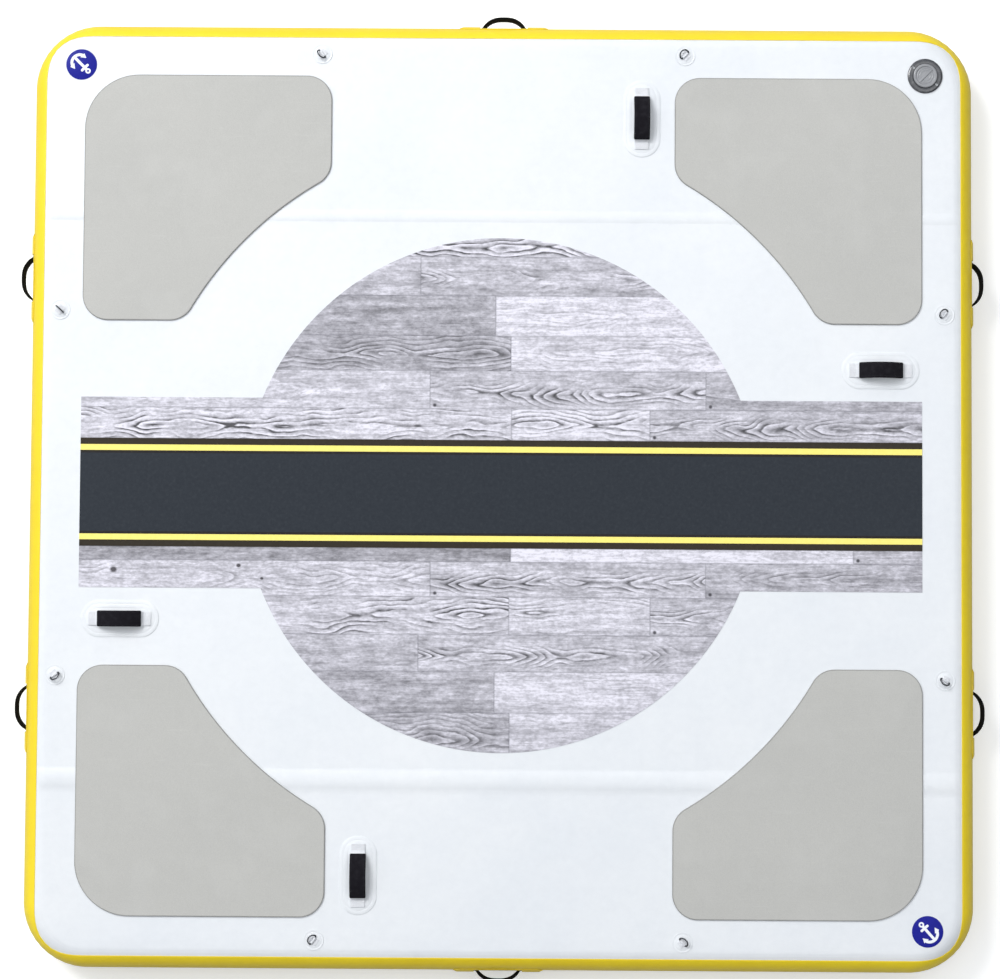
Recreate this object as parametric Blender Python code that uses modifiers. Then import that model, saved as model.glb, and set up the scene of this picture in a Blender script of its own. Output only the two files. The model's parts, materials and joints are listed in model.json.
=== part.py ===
"""Square inflatable floating dock, built as the separate pieces it is made of.

Units are metres and +Z is up. The origin lies under the middle of the dock, on the
surface that it rests on. +Y is called rear and +X is called right.
"""

import math

import bmesh
import bpy
from mathutils import Matrix, Vector

# Overall size over the side band, handles not counted
dock_length = 2.44
dock_width = 2.44
dock_height = 0.152
corner_radius = 0.168

# Side wall: a short upright strip at mid height between two quarter ellipses
bulge_reach = 0.060
wall_strip_height = 0.039
corner_steps = 7
shoulder_steps = 4

# Layers, from outside in, and the gap left between touching pieces
clearance = 0.0003
band_thickness = 0.0012
skin_thickness = 0.0012
skirt_gap = 0.002
band_rim = 0.037
band_corner_rim = 0.023

# Drop-stitch core: two woven layers held one height apart by bundles of yarn
weave_thickness = 0.0006
weave_edge_margin = 0.005
yarn_pitch = 0.33
yarn_width = 0.006
yarn_edge_margin = 0.03

# Printed sheets on the deck
print_disc_radius = 0.662
print_strip_width = 0.490
print_edge_inset = 0.138
print_thickness = 0.0006
centre_band_width = 0.278
centre_band_thickness = 0.0006
badge_radius = 0.040
badge_thickness = 0.0006
badge_inset_x = 0.126
badge_inset_y = 0.112
arc_steps = 24

# Foam traction pads
pad_edge_inset = 0.138
pad_inner_edge = 0.4435
pad_handle_gap = 0.038
pad_disc_gap = 0.270
pad_straight_share = 0.3515
pad_outer_corner = 0.140
pad_small_corner = 0.065
pad_thickness = 0.0040
pad_edge_round = 0.0010
pad_corner_steps = 5
pad_arc_steps = 10

# Padded deck handles
handle_edge_inset = 0.245
handle_offset_long = 0.358
handle_strip_gap = 0.0325
handle_patch_length = 0.200
handle_patch_width = 0.095
handle_patch_thickness = 0.0012
handle_web_width = 0.036
handle_web_thickness = 0.0024
handle_half_span = 0.057
handle_end_rise = 0.0040
handle_arch_rise = 0.020
handle_tab_end = 0.080
grip_half_span = 0.054
grip_width = 0.041
grip_thickness = 0.0095
grip_round = 0.0022
handle_steps = 10

# Webbing grab loops on the side wall
loop_offset = 0.557
loop_web_width = 0.036
loop_web_thickness = 0.0030
loop_half_span = 0.057
loop_rise = 0.031
loop_tab_end = 0.104
loop_steps = 12
loop_patch_length = 0.230
loop_patch_thickness = 0.0012
pocket_start = 0.062
pocket_wall = 0.0014

# D rings on the deck
ring_edge_inset = 0.080
ring_offset = 0.470
ring_wire = 0.0036
ring_inner_width = 0.0220
ring_corner = 0.0030
ring_patch_radius = 0.026
ring_patch_thickness = 0.0010
ring_web_width = 0.0180
ring_web_thickness = 0.0012
ring_web_reach = 0.0115
bow_steps = 8
patch_sides = 20

# Inflation valve
valve_inset = 0.129
valve_sides = 24
flange_radius = 0.045
flange_lip = 0.0012
flange_thickness = 0.0032
flange_slope = 0.0030
gasket_thickness = 0.0012
gasket_radius = 0.0325
barrel_radius = 0.0260
bore_radius = 0.0235
barrel_depth = 0.033
seat_radius = 0.0170
seat_thickness = 0.0030
spider_depth = 0.018
spider_thickness = 0.0030
spider_port_radius = 0.0055
spanner_hole_radius = 0.0034
spanner_hole_inset = 0.0085
spanner_angle = math.radians(143.5)
nut_radius = 0.0340
nut_height = 0.0080
nut_sides = 8
recess_radius = 0.0315
recess_depth = 0.0014
cap_radius = 0.0309
cap_thickness = 0.0034
cap_floor = 0.0024
cap_dish_radius = 0.0250
cap_skirt_radius = 0.0228
cap_skirt_wall = 0.0028
cap_skirt_depth = 0.0075
cap_rib_length = 0.047
cap_rib_width = 0.0080
cap_rib_angle = math.radians(45.0)
seal_thickness = 0.0010
seal_inner_radius = 0.0242
stem_radius = 0.0030
stem_head_radius = 0.0085
stem_head_depth = 0.0032
stem_head_thickness = 0.0030
stem_foot_radius = 0.0070
stem_foot_thickness = 0.0024
stem_bush_clearance = 0.0004
diaphragm_radius = 0.0205
diaphragm_thickness = 0.0020
spring_wire = 0.0010
spring_radius = 0.0056
spring_turns = 4
spring_steps = 8

# How far a cutter runs past what it cuts
cut_overrun = 0.004

# Places worked out from the sizes above
half_length = dock_length / 2
half_width = dock_width / 2
mid_height = dock_height / 2
band_build = band_thickness + clearance
flat_half_x = half_length - band_build - bulge_reach
flat_half_y = half_width - band_build - bulge_reach
flat_corner = corner_radius - band_build - bulge_reach
strip_half = wall_strip_height / 2
handle_offset_cross = print_strip_width / 2 + handle_strip_gap + handle_patch_width / 2
pad_inner_side = handle_offset_long + handle_patch_width / 2 + pad_handle_gap
shoulder_rise = mid_height - strip_half
deck_sheet_base = dock_height + clearance


def clear_scene():
    for item in list(bpy.data.objects):
        bpy.data.objects.remove(item, do_unlink=True)


def new_collection(name):
    collection = bpy.data.collections.new(name)
    bpy.context.scene.collection.children.link(collection)
    return collection


def new_material(name, colour, roughness, metallic=0.0):
    material = bpy.data.materials.new(name)
    material.use_nodes = True
    shader = material.node_tree.nodes["Principled BSDF"]
    shader.inputs["Base Color"].default_value = (*colour, 1.0)
    shader.inputs["Roughness"].default_value = roughness
    shader.inputs["Metallic"].default_value = metallic
    material.diffuse_color = (*colour, 1.0)
    return material


clear_scene()
dock = new_collection("floating_dock")
cutters = new_collection("cutters")

white_pvc = new_material("white_pvc", (0.86, 0.87, 0.88), 0.45)
yellow_pvc = new_material("yellow_pvc", (0.92, 0.74, 0.05), 0.42)
grey_foam = new_material("grey_foam", (0.60, 0.60, 0.57), 0.85)
wood_print = new_material("wood_print", (0.56, 0.56, 0.58), 0.55)
charcoal_print = new_material("charcoal_print", (0.06, 0.07, 0.08), 0.50)
blue_badge = new_material("blue_badge", (0.05, 0.07, 0.40), 0.45)
black_neoprene = new_material("black_neoprene", (0.015, 0.015, 0.018), 0.80)
white_webbing = new_material("white_webbing", (0.80, 0.80, 0.80), 0.75)
black_webbing = new_material("black_webbing", (0.012, 0.012, 0.013), 0.70)
steel = new_material("steel", (0.62, 0.62, 0.62), 0.22, 1.0)
grey_plastic = new_material("grey_plastic", (0.13, 0.13, 0.14), 0.40)
rubber = new_material("rubber", (0.03, 0.03, 0.03), 0.70)
polyester_yarn = new_material("polyester_yarn", (0.78, 0.78, 0.74), 0.85)


def add_object(name, data, material, matrix=None, collection=dock):
    """Links one object; its matrix places data that is modelled about its own origin."""
    item = bpy.data.objects.new(name, data)
    collection.objects.link(item)
    if matrix is not None:
        item.matrix_world = matrix
    if material is not None:
        data.materials.clear()
        data.materials.append(material)
    return item


def add_cutter(name, data, matrix=None):
    item = add_object(name, data, None, matrix, cutters)
    item.hide_render = True
    item.display_type = "WIRE"
    return item


def mesh_from(name, build):
    """A mesh whose shape the given function makes in an empty bmesh."""
    mesh = bpy.data.meshes.new(name)
    bm = bmesh.new()
    build(bm)
    bm.to_mesh(mesh)
    bm.free()
    return mesh


def smooth(mesh, angle=math.radians(40.0)):
    mesh.shade_smooth()
    mesh.set_sharp_from_angle(angle=angle)


def frame_at(origin, x_dir, y_dir):
    """Matrix at a point whose X and Y run along two directions square to each other."""
    x_axis = Vector(x_dir).normalized()
    y_axis = Vector(y_dir).normalized()
    matrix = Matrix((x_axis, y_axis, x_axis.cross(y_axis))).transposed().to_4x4()
    matrix.translation = origin
    return matrix


def arc(centre, radius, start, end, steps):
    """Points along an arc in the plane, both ends included."""
    points = []
    for step in range(steps + 1):
        angle = start + (end - start) * step / steps
        points.append((centre[0] + radius * math.cos(angle), centre[1] + radius * math.sin(angle)))
    return points


def add_box(bm, low, high, matrix=None):
    """Adds one closed box between two corners."""
    size = Vector(high) - Vector(low)
    centre = (Vector(high) + Vector(low)) / 2
    place = Matrix.Translation(centre) @ Matrix.Diagonal((*size, 1.0))
    if matrix is not None:
        place = matrix @ place
    bmesh.ops.create_cube(bm, size=1.0, matrix=place)


def add_disc(bm, radius, thickness, sides, matrix):
    """Adds one closed disc whose underside lies at the matrix's origin."""
    place = matrix @ Matrix.Translation((0, 0, thickness / 2))
    bmesh.ops.create_cone(
        bm, cap_ends=True, segments=sides, radius1=radius, radius2=radius, depth=thickness, matrix=place
    )


def add_prism(bm, outline, depth, matrix):
    """Adds one closed prism: an outline in X and Y, carried both ways along Z."""
    corners = [bm.verts.new((x, y, -depth / 2)) for x, y in outline]
    face = bm.faces.new(corners)
    face.normal_update()
    side = bmesh.ops.extrude_face_region(bm, geom=[face])
    top = [item for item in side["geom"] if isinstance(item, bmesh.types.BMVert)]
    bmesh.ops.translate(bm, verts=top, vec=(0, 0, depth))
    shell = set(face.edges)
    for vert in corners + top:
        shell.update(vert.link_edges)
    faces = list({linked for edge in shell for linked in edge.link_faces})
    bmesh.ops.recalc_face_normals(bm, faces=faces)
    bmesh.ops.transform(bm, matrix=matrix, verts=corners + top)


def flat_sheet(name, loops, thickness, base, material, edge=0.0):
    """A flat sheet from closed outlines, its underside at the height base."""
    curve = bpy.data.curves.new(name, "CURVE")
    curve.dimensions = "2D"
    curve.fill_mode = "BOTH"
    curve.extrude = thickness / 2 - edge
    curve.bevel_depth = edge
    curve.bevel_resolution = 0
    curve.offset = -edge
    for loop in loops:
        spline = curve.splines.new("POLY")
        spline.points.add(len(loop) - 1)
        for point, (x, y) in zip(spline.points, loop):
            point.co = (x, y, 0, 1)
        spline.use_cyclic_u = True
    return add_object(name, curve, material, Matrix.Translation((0, 0, base + thickness / 2)))


def turned(name, profile, material, matrix, sides=valve_sides):
    """A turned piece: a profile of radius and height, run round the Z axis."""
    mesh = bpy.data.meshes.new(name)
    points = [(radius, 0, height) for radius, height in profile]
    closed = profile[0][0] > 0
    last = len(points) if closed else len(points) - 1
    edges = [(index, (index + 1) % len(points)) for index in range(last)]
    mesh.from_pydata(points, edges, [])
    item = add_object(name, mesh, material, matrix)
    screw = item.modifiers.new("turn", "SCREW")
    screw.axis = "Z"
    screw.angle = math.tau
    screw.steps = sides
    screw.render_steps = sides
    screw.use_merge_vertices = True
    screw.merge_threshold = clearance / 10
    screw.use_smooth_shade = False
    return item


def thicken(item, thickness, offset):
    """Solidify: -1 grows inwards, 0 both ways and 1 outwards."""
    shell = item.modifiers.new("thickness", "SOLIDIFY")
    shell.thickness = thickness
    shell.offset = offset
    shell.use_even_offset = True


def cut(item, cutter, name="cut"):
    boolean = item.modifiers.new(name, "BOOLEAN")
    boolean.operation = "DIFFERENCE"
    boolean.solver = "EXACT"
    boolean.object = cutter


def join(item, other, name="join"):
    boolean = item.modifiers.new(name, "BOOLEAN")
    boolean.operation = "UNION"
    boolean.solver = "EXACT"
    boolean.object = other


# Side wall section and the rings that carry it round the dock


def wall_profile():
    """Outer face of the skins, as (reach past the flat deck, height), top to bottom."""
    upper = []
    for step in range(shoulder_steps + 1):
        angle = math.pi / 2 * (1 - step / shoulder_steps)
        upper.append((bulge_reach * math.cos(angle), mid_height + strip_half + shoulder_rise * math.sin(angle)))
    lower = [(reach, dock_height - height) for reach, height in reversed(upper)]
    return upper + lower


def moved_profile(distance):
    """The same section moved outwards, keeping each facet parallel to the old one."""
    points = wall_profile()
    guide = [(-bulge_reach, dock_height)] + points + [(-bulge_reach, 0)]
    moved = []
    for index in range(1, len(guide) - 1):
        before = (Vector(guide[index]) - Vector(guide[index - 1])).normalized()
        after = (Vector(guide[index + 1]) - Vector(guide[index])).normalized()
        normal = (Vector((-before.y, before.x)) + Vector((-after.y, after.x))).normalized()
        stretch = normal.dot(Vector((-after.y, after.x)))
        moved.append(tuple(Vector(guide[index]) + normal * distance / stretch))
    return moved


def ring_point(corner, step, reach, height):
    """Point on the rounded square, at one step of one corner's arc."""
    sign_x = 1 if corner in (0, 3) else -1
    sign_y = 1 if corner in (0, 1) else -1
    angle = math.pi / 2 * (corner + step / corner_steps)
    radius = flat_corner + reach
    x = sign_x * (flat_half_x - flat_corner) + radius * math.cos(angle)
    y = sign_y * (flat_half_y - flat_corner) + radius * math.sin(angle)
    return Vector((x, y, height))


def ring(reach, height):
    """One level of the rounded square, counter-clockwise from the right side."""
    return [ring_point(corner, step, reach, height) for corner in range(4) for step in range(corner_steps + 1)]


def loft(bm, rings, cap_top=False, cap_bottom=False):
    """An open surface through rings given from top to bottom, facing outwards."""
    levels = [[bm.verts.new(point) for point in points] for points in rings]
    count = len(levels[0])
    for upper, lower in zip(levels, levels[1:]):
        for index in range(count):
            after = (index + 1) % count
            bm.faces.new((upper[index], lower[index], lower[after], upper[after]))
    if cap_top:
        bm.faces.new(levels[0])
    if cap_bottom:
        bm.faces.new(list(reversed(levels[-1])))


def make_skins():
    """The top and bottom skins: flat sheets whose edges are turned over the side wall."""
    profile = wall_profile()
    upper = profile[: shoulder_steps + 1] + [(bulge_reach, mid_height + skirt_gap / 2)]
    lower = [(bulge_reach, mid_height - skirt_gap / 2)] + profile[shoulder_steps + 1 :]
    top_mesh = mesh_from("top_skin", lambda bm: loft(bm, [ring(*level) for level in upper], cap_top=True))
    base_mesh = mesh_from("bottom_skin", lambda bm: loft(bm, [ring(*level) for level in lower], cap_bottom=True))
    top = add_object("top_skin", top_mesh, white_pvc)
    base = add_object("bottom_skin", base_mesh, white_pvc)
    thicken(top, skin_thickness, -1)
    thicken(base, skin_thickness, -1)
    return top


def band_edge_share(corner_share):
    """How far down the section, in facets, the band's edge lies at one place of a corner."""
    rim = band_rim + (band_corner_rim - band_rim) * math.sin(math.pi * corner_share)
    reach = bulge_reach + band_build - rim
    profile = wall_profile()
    for index in range(shoulder_steps):
        near = profile[index][0]
        far = profile[index + 1][0]
        if reach <= far:
            return index + (reach - near) / (far - near)
    return float(shoulder_steps)


def band_edge(levels, below=False):
    """The band's upper or lower edge, which climbs down the shoulder at the corners."""
    points = []
    for corner in range(4):
        for step in range(corner_steps + 1):
            place = band_edge_share(step / corner_steps)
            index = min(int(place), shoulder_steps - 1)
            part = place - index
            if below:
                first = levels[len(levels) - 1 - index]
                second = levels[len(levels) - 2 - index]
            else:
                first = levels[index]
                second = levels[index + 1]
            start = ring_point(corner, step, *first)
            end = ring_point(corner, step, *second)
            points.append(start.lerp(end, part))
    return points


def make_band():
    """The coloured outer side wall strip that shows as the rim."""
    levels = moved_profile(clearance + band_thickness)
    deepest = max(band_edge_share(step / corner_steps) for step in range(corner_steps + 1))
    first = min(math.ceil(deepest), shoulder_steps)
    middle = levels[first : len(levels) - first]
    rings = [band_edge(levels)] + [ring(*level) for level in middle] + [band_edge(levels, below=True)]
    mesh = mesh_from("side_band", lambda bm: loft(bm, rings))
    band = add_object("side_band", mesh, yellow_pvc)
    thicken(band, band_thickness, -1)


# Inside the chamber


def valve_centre():
    return Vector((half_length - valve_inset, half_width - valve_inset, dock_height))


def yarn_places():
    """Grid places for the yarn bundles, clear of the round corners and the valve."""
    reach_x = flat_half_x - yarn_edge_margin
    reach_y = flat_half_y - yarn_edge_margin
    count_x = int(reach_x / yarn_pitch)
    count_y = int(reach_y / yarn_pitch)
    valve = valve_centre()
    corner = Vector((flat_half_x - flat_corner, flat_half_y - flat_corner))
    places = []
    for column in range(-count_x, count_x + 1):
        for row in range(-count_y, count_y + 1):
            x = column * yarn_pitch
            y = row * yarn_pitch
            past = Vector((max(abs(x) - corner.x, 0), max(abs(y) - corner.y, 0)))
            near_valve = (Vector((x, y)) - valve.xy).length < nut_radius + 2 * yarn_width
            outside = past.length > flat_corner - 2 * yarn_width
            if not (near_valve or outside):
                places.append((x, y))
    return places


def make_core():
    """The drop-stitch core: woven layers under both skins, joined by yarn bundles."""
    low = skin_thickness + clearance
    high = dock_height - skin_thickness - clearance
    edge = [(point.x, point.y) for point in ring(-weave_edge_margin, 0)]
    half = yarn_width / 2

    def build_layer(bm):
        add_prism(bm, edge, weave_thickness, Matrix.Translation((0, 0, low + weave_thickness / 2)))

    def build_yarns(bm):
        inset = weave_thickness / 2
        for x, y in yarn_places():
            add_box(bm, (x - half, y - half, low + inset), (x + half, y + half, high - inset))

    def build_upper(bm):
        add_prism(bm, edge, weave_thickness, Matrix.Translation((0, 0, high - weave_thickness / 2)))

    core = add_object("drop_stitch_core", mesh_from("drop_stitch_core", build_layer), polyester_yarn)
    join(core, add_cutter("yarn_bundles", mesh_from("yarn_bundles", build_yarns)), "yarns")
    join(core, add_cutter("upper_weave", mesh_from("upper_weave", build_upper)), "upper weave")
    place = Matrix.Translation(valve_centre())
    depth = skin_thickness + clearance + weave_thickness + cut_overrun
    opening = nut_radius + 2 * clearance
    cut(core, cylinder_cutter("weave_hole", opening, -depth, cut_overrun, valve_sides, place), "valve opening")


# Sheets and pads on the deck


def print_outline():
    """A disc with a straight strip across it."""
    reach = half_length - print_edge_inset
    half = print_strip_width / 2
    angle = math.asin(half / print_disc_radius)
    upper = arc((0, 0), print_disc_radius, angle, math.pi - angle, arc_steps)
    lower = arc((0, 0), print_disc_radius, math.pi + angle, math.tau - angle, arc_steps)
    return [(reach, -half), (reach, half)] + upper + [(-reach, half), (-reach, -half)] + lower


def make_prints():
    reach = half_length - print_edge_inset
    half = centre_band_width / 2
    flat_sheet("wood_print_sheet", [print_outline()], print_thickness, deck_sheet_base, wood_print)
    band = [(-reach, -half), (reach, -half), (reach, half), (-reach, half)]
    base = deck_sheet_base + print_thickness + clearance
    flat_sheet("centre_band_sheet", [band], centre_band_thickness, base, charcoal_print)


def make_badges():
    """Round printed badges on the two corners where an anchor line goes."""
    for name, side in (("anchor_badge_rear_left", -1), ("anchor_badge_front_right", 1)):
        x = side * (half_length - badge_inset_x)
        y = -side * (half_width - badge_inset_y)
        place = Matrix.Translation((x, y, deck_sheet_base))
        mesh = mesh_from(name, lambda bm: add_disc(bm, badge_radius, badge_thickness, patch_sides, Matrix()))
        add_object(name, mesh, blue_badge, place)


def pad_outline(sign_x, sign_y):
    """One pad: three round corners and a hollow edge that faces the printed disc.

    Two of its sides stay straight for a share of their length, and the hollow edge joins them.
    """
    outer_x = half_length - pad_edge_inset
    outer_y = half_width - pad_edge_inset
    inner_x = pad_inner_side
    inner_y = pad_inner_edge
    small = pad_small_corner
    big = pad_outer_corner
    hollow = print_disc_radius + pad_disc_gap
    right = math.pi / 2
    upper = Vector((inner_x + small, outer_y - pad_straight_share * (outer_y - inner_y)))
    lower = Vector((outer_x - pad_straight_share * (outer_x - inner_x), inner_y + small))
    chord = lower - upper
    back = math.sqrt((hollow + small) ** 2 - (chord.length / 2) ** 2)
    centre = (upper + lower) / 2 + Vector((chord.y, -chord.x)).normalized() * back
    start = math.atan2(upper.y - centre.y, upper.x - centre.x)
    end = math.atan2(lower.y - centre.y, lower.x - centre.x)
    points = arc((outer_x - small, inner_y + small), small, -right, 0, pad_corner_steps)
    points += arc((outer_x - big, outer_y - big), big, 0, right, pad_corner_steps)
    points += arc((inner_x + small, outer_y - small), small, right, math.pi, pad_corner_steps)
    points += arc(upper, small, math.pi, math.pi + start, pad_corner_steps)
    points += arc(centre, hollow, start, end, pad_arc_steps)[1:-1]
    points += arc(lower, small, math.pi + end, 3 * right, pad_corner_steps)
    return [(sign_x * x, sign_y * y) for x, y in points]


def make_pads():
    pads = (
        ("traction_pad_rear_left", -1, 1),
        ("traction_pad_rear_right", 1, 1),
        ("traction_pad_front_left", -1, -1),
        ("traction_pad_front_right", 1, -1),
    )
    for name, sign_x, sign_y in pads:
        outline = pad_outline(sign_x, sign_y)
        flat_sheet(name, [outline], pad_thickness, deck_sheet_base, grey_foam, pad_edge_round)


# Handles and grab loops


def strap_path(half_span, low, rise, tab_end, tab_height, steps):
    """A strap's middle line: flat tabs joined by a round arch, as (along, out) points."""
    radius = (half_span**2 + rise**2) / (2 * rise)
    half_angle = math.asin(half_span / radius)
    centre = low + rise - radius
    start = math.pi / 2 + half_angle
    end = math.pi / 2 - half_angle
    arch = arc((0, centre), radius, start, end, steps)
    ends = []
    if tab_end > half_span:
        ends = [(tab_end, tab_height)]
    foot = [(half_span + (low - tab_height), tab_height)] if low > tab_height else []
    left = [(-x, y) for x, y in ends + foot]
    right = [(x, y) for x, y in reversed(ends + foot)]
    return left + arch + right


def ribbon(name, path, width):
    """An open strip that follows a path in X and Y, its width along Z."""

    def build(bm):
        lower = [bm.verts.new((x, y, -width / 2)) for x, y in path]
        upper = [bm.verts.new((x, y, width / 2)) for x, y in path]
        for index in range(len(path) - 1):
            bm.faces.new((lower[index], lower[index + 1], upper[index + 1], upper[index]))

    return mesh_from(name, build)


def handle_height():
    """Middle of the flat webbing over the deck handle's patch."""
    return clearance + handle_patch_thickness + clearance + handle_web_thickness / 2


def handle_frames():
    """Deck handles: name and local frame, X along the handle and Y straight up."""
    up = (0, 0, 1)
    inset_x = half_length - handle_edge_inset
    inset_y = half_width - handle_edge_inset
    places = (
        ("rear", (handle_offset_long, inset_y), (0, 1, 0)),
        ("right", (inset_x, handle_offset_cross), (1, 0, 0)),
        ("left", (-inset_x, -handle_offset_cross), (1, 0, 0)),
        ("front", (-handle_offset_long, -inset_y), (0, 1, 0)),
    )
    return [(name, frame_at((*place, dock_height), along, up)) for name, place, along in places]


def stadium(length, width, steps):
    """Outline with two straight sides and round ends."""
    radius = width / 2
    reach = length / 2 - radius
    right = math.pi / 2
    return arc((reach, 0), radius, -right, right, steps) + arc((-reach, 0), radius, right, 3 * right, steps)


def make_handle(name, frame):
    """A webbing strap over its patch on the deck, and a padded grip round the strap."""
    tab = handle_height()
    low = tab + handle_end_rise
    path = strap_path(handle_half_span, low, handle_arch_rise, handle_tab_end, tab, handle_steps)
    strap = add_object(f"handle_strap_{name}", ribbon("handle_strap", path, handle_web_width), white_webbing, frame)
    thicken(strap, handle_web_thickness, 0)
    level = frame @ Matrix.Rotation(-math.pi / 2, 4, "X")
    base = Matrix.Translation((0, 0, clearance + handle_patch_thickness / 2))
    outline = stadium(handle_patch_length, handle_patch_width, handle_steps)
    mesh = mesh_from("handle_patch", lambda bm: add_prism(bm, outline, handle_patch_thickness, base))
    add_object(f"handle_patch_{name}", mesh, white_pvc, level)

    radius = (handle_half_span**2 + handle_arch_rise**2) / (2 * handle_arch_rise)
    centre = low + handle_arch_rise - radius
    turn = math.asin(grip_half_span / radius)
    arch = arc((0, centre), radius, math.pi / 2 + turn, math.pi / 2 - turn, handle_steps)
    grip = add_object(f"handle_grip_{name}", ribbon("grip", arch, grip_width), black_neoprene, frame)
    thicken(grip, grip_thickness, 0)
    edge = grip.modifiers.new("round edges", "BEVEL")
    edge.width = grip_round
    edge.segments = 2
    edge.limit_method = "ANGLE"
    edge.angle_limit = math.radians(60.0)

    slot_width = handle_web_width + 2 * clearance
    past = math.asin((grip_half_span + cut_overrun) / radius)
    channel = arc((0, centre), radius, math.pi / 2 + past, math.pi / 2 - past, handle_steps)
    slot = add_cutter(f"grip_slot_{name}", ribbon("slot", channel, slot_width), frame)
    thicken(slot, handle_web_thickness + 2 * clearance, 0)
    cut(grip, slot, "webbing slot")


def wall_frames():
    """Grab loops: name and local frame, X along the wall and Y straight out of it."""
    places = (
        ("left_rear", (-half_length, loop_offset), (0, 1, 0), (-1, 0, 0)),
        ("left_front", (-half_length, -loop_offset), (0, 1, 0), (-1, 0, 0)),
        ("right_rear", (half_length, loop_offset), (0, -1, 0), (1, 0, 0)),
        ("right_front", (half_length, -loop_offset), (0, -1, 0), (1, 0, 0)),
        ("rear", (0, half_width), (1, 0, 0), (0, 1, 0)),
        ("front", (0, -half_width), (-1, 0, 0), (0, -1, 0)),
    )
    return [(name, frame_at((*place, mid_height), along, out)) for name, place, along, out in places]


def wall_section(low, thin, thick):
    """Outline of a patch over the wall's strip, as (out of the wall, height over mid height).

    It starts low over the band, and is thin at its edges and thick over the strip.
    """
    first = shoulder_steps - 1
    last = shoulder_steps + 2
    inner = moved_profile(band_build + low)[first : last + 1]
    outer = moved_profile(band_build + thin)
    out = bulge_reach + band_build
    points = [(reach - out, height - mid_height) for reach, height in inner]
    points.append((outer[last][0] - out, outer[last][1] - mid_height))
    points.append((thick, inner[2][1] - mid_height))
    points.append((thick, inner[1][1] - mid_height))
    points.append((outer[first][0] - out, outer[first][1] - mid_height))
    return points


def make_loop(name, frame):
    """A webbing loop on the side wall, its two ends held flat in the pockets of a patch."""
    tab = 2 * clearance + loop_web_thickness / 2
    path = strap_path(loop_half_span, tab, loop_rise, loop_tab_end, tab, loop_steps)
    web = add_object(f"side_loop_{name}", ribbon("side_loop", path, loop_web_width), black_webbing, frame)
    thicken(web, loop_web_thickness, 0)

    upright = frame_at((0, 0, 0), (0, 1, 0), (0, 0, 1))
    edge = clearance + loop_patch_thickness
    over = 3 * clearance + loop_web_thickness + pocket_wall
    flat = wall_section(clearance, edge, edge)
    raised = wall_section(clearance + loop_patch_thickness / 2, edge, over)
    half = loop_patch_length / 2
    length = half - pocket_start - loop_patch_thickness

    def build_pockets(bm):
        for side in (-1, 1):
            along = side * (pocket_start + length / 2)
            add_prism(bm, raised, length, Matrix.Translation((along, 0, 0)) @ upright)

    def build_slots(bm):
        high = 3 * clearance + loop_web_thickness
        wide = loop_web_width / 2 + clearance
        start = loop_half_span - loop_web_thickness
        end = loop_tab_end + clearance
        add_box(bm, (start, -cut_overrun, -wide), (end, high, wide))
        add_box(bm, (-end, -cut_overrun, -wide), (-start, high, wide))

    mesh = mesh_from("side_loop_patch", lambda bm: add_prism(bm, flat, 2 * half, upright))
    patch = add_object(f"side_loop_patch_{name}", mesh, yellow_pvc, frame)
    join(patch, add_cutter(f"pockets_{name}", mesh_from("pockets", build_pockets), frame), "pockets")
    cut(patch, add_cutter(f"pocket_slots_{name}", mesh_from("pocket_slots", build_slots), frame), "slots")


# D rings


def ring_curve(name, wire, inner_width, corner):
    """A D of round wire: its bar along X through the origin, its bow towards +Y."""
    half = (inner_width + wire) / 2
    right = math.pi / 2
    bow = arc((0, corner), half, math.pi, 0, bow_steps)
    near = arc((half - corner, corner), corner, 0, -right, 2)[1:]
    far = arc((corner - half, corner), corner, -right, -math.pi, 2)[:-1]
    curve = bpy.data.curves.new(name, "CURVE")
    curve.dimensions = "3D"
    curve.bevel_depth = wire / 2
    curve.bevel_resolution = 2
    spline = curve.splines.new("POLY")
    points = bow + near + far
    spline.points.add(len(points) - 1)
    for point, (x, y) in zip(spline.points, points):
        point.co = (x, y, 0, 1)
    spline.use_cyclic_u = True
    return curve


def keeper_outline(wire, thickness, reach):
    """Webbing laid over a ring's bar, as (across, up) over the patch that it is sewn to.

    Its feet sink into the patch, so that the two join into one body.
    """
    inner = wire / 2 + clearance
    outer = inner + thickness
    height = clearance + wire / 2
    right = math.pi / 2
    over = arc((0, height), outer, right * 2, 0, 6)
    under = arc((0, height), inner, 0, right * 2, 6)
    foot = -ring_patch_thickness / 2
    points = [(-reach, foot), (-reach, thickness), (-outer, thickness)] + over
    points += [(outer, thickness), (reach, thickness), (reach, foot), (inner, foot)]
    return points + under + [(-inner, foot)]


def deck_ring_frames():
    """Deck rings: name, frame with X along the bar and Z up, and how far the bow is raised."""
    edge_x = half_length - ring_edge_inset
    edge_y = half_width - ring_edge_inset
    places = (
        ("rear_left", (-ring_offset, edge_y), 221, 50),
        ("rear_right", (ring_offset, edge_y), 135, 28),
        ("left_rear", (-edge_x, ring_offset), 48, 86),
        ("right_rear", (edge_x, ring_offset), 138, 35),
        ("left_front", (-edge_x, -ring_offset), 305, 48),
        ("right_front", (edge_x, -ring_offset), 238, 48),
        ("front_left", (-ring_offset, -edge_y), 145, 30),
        ("front_right", (ring_offset, -edge_y), 42, 45),
    )
    frames = []
    for name, place, heading, raised in places:
        turn = math.radians(heading) - math.pi / 2
        frame = Matrix.Translation((*place, deck_sheet_base)) @ Matrix.Rotation(turn, 4, "Z")
        frames.append((name, frame, math.radians(raised)))
    return frames


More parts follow.
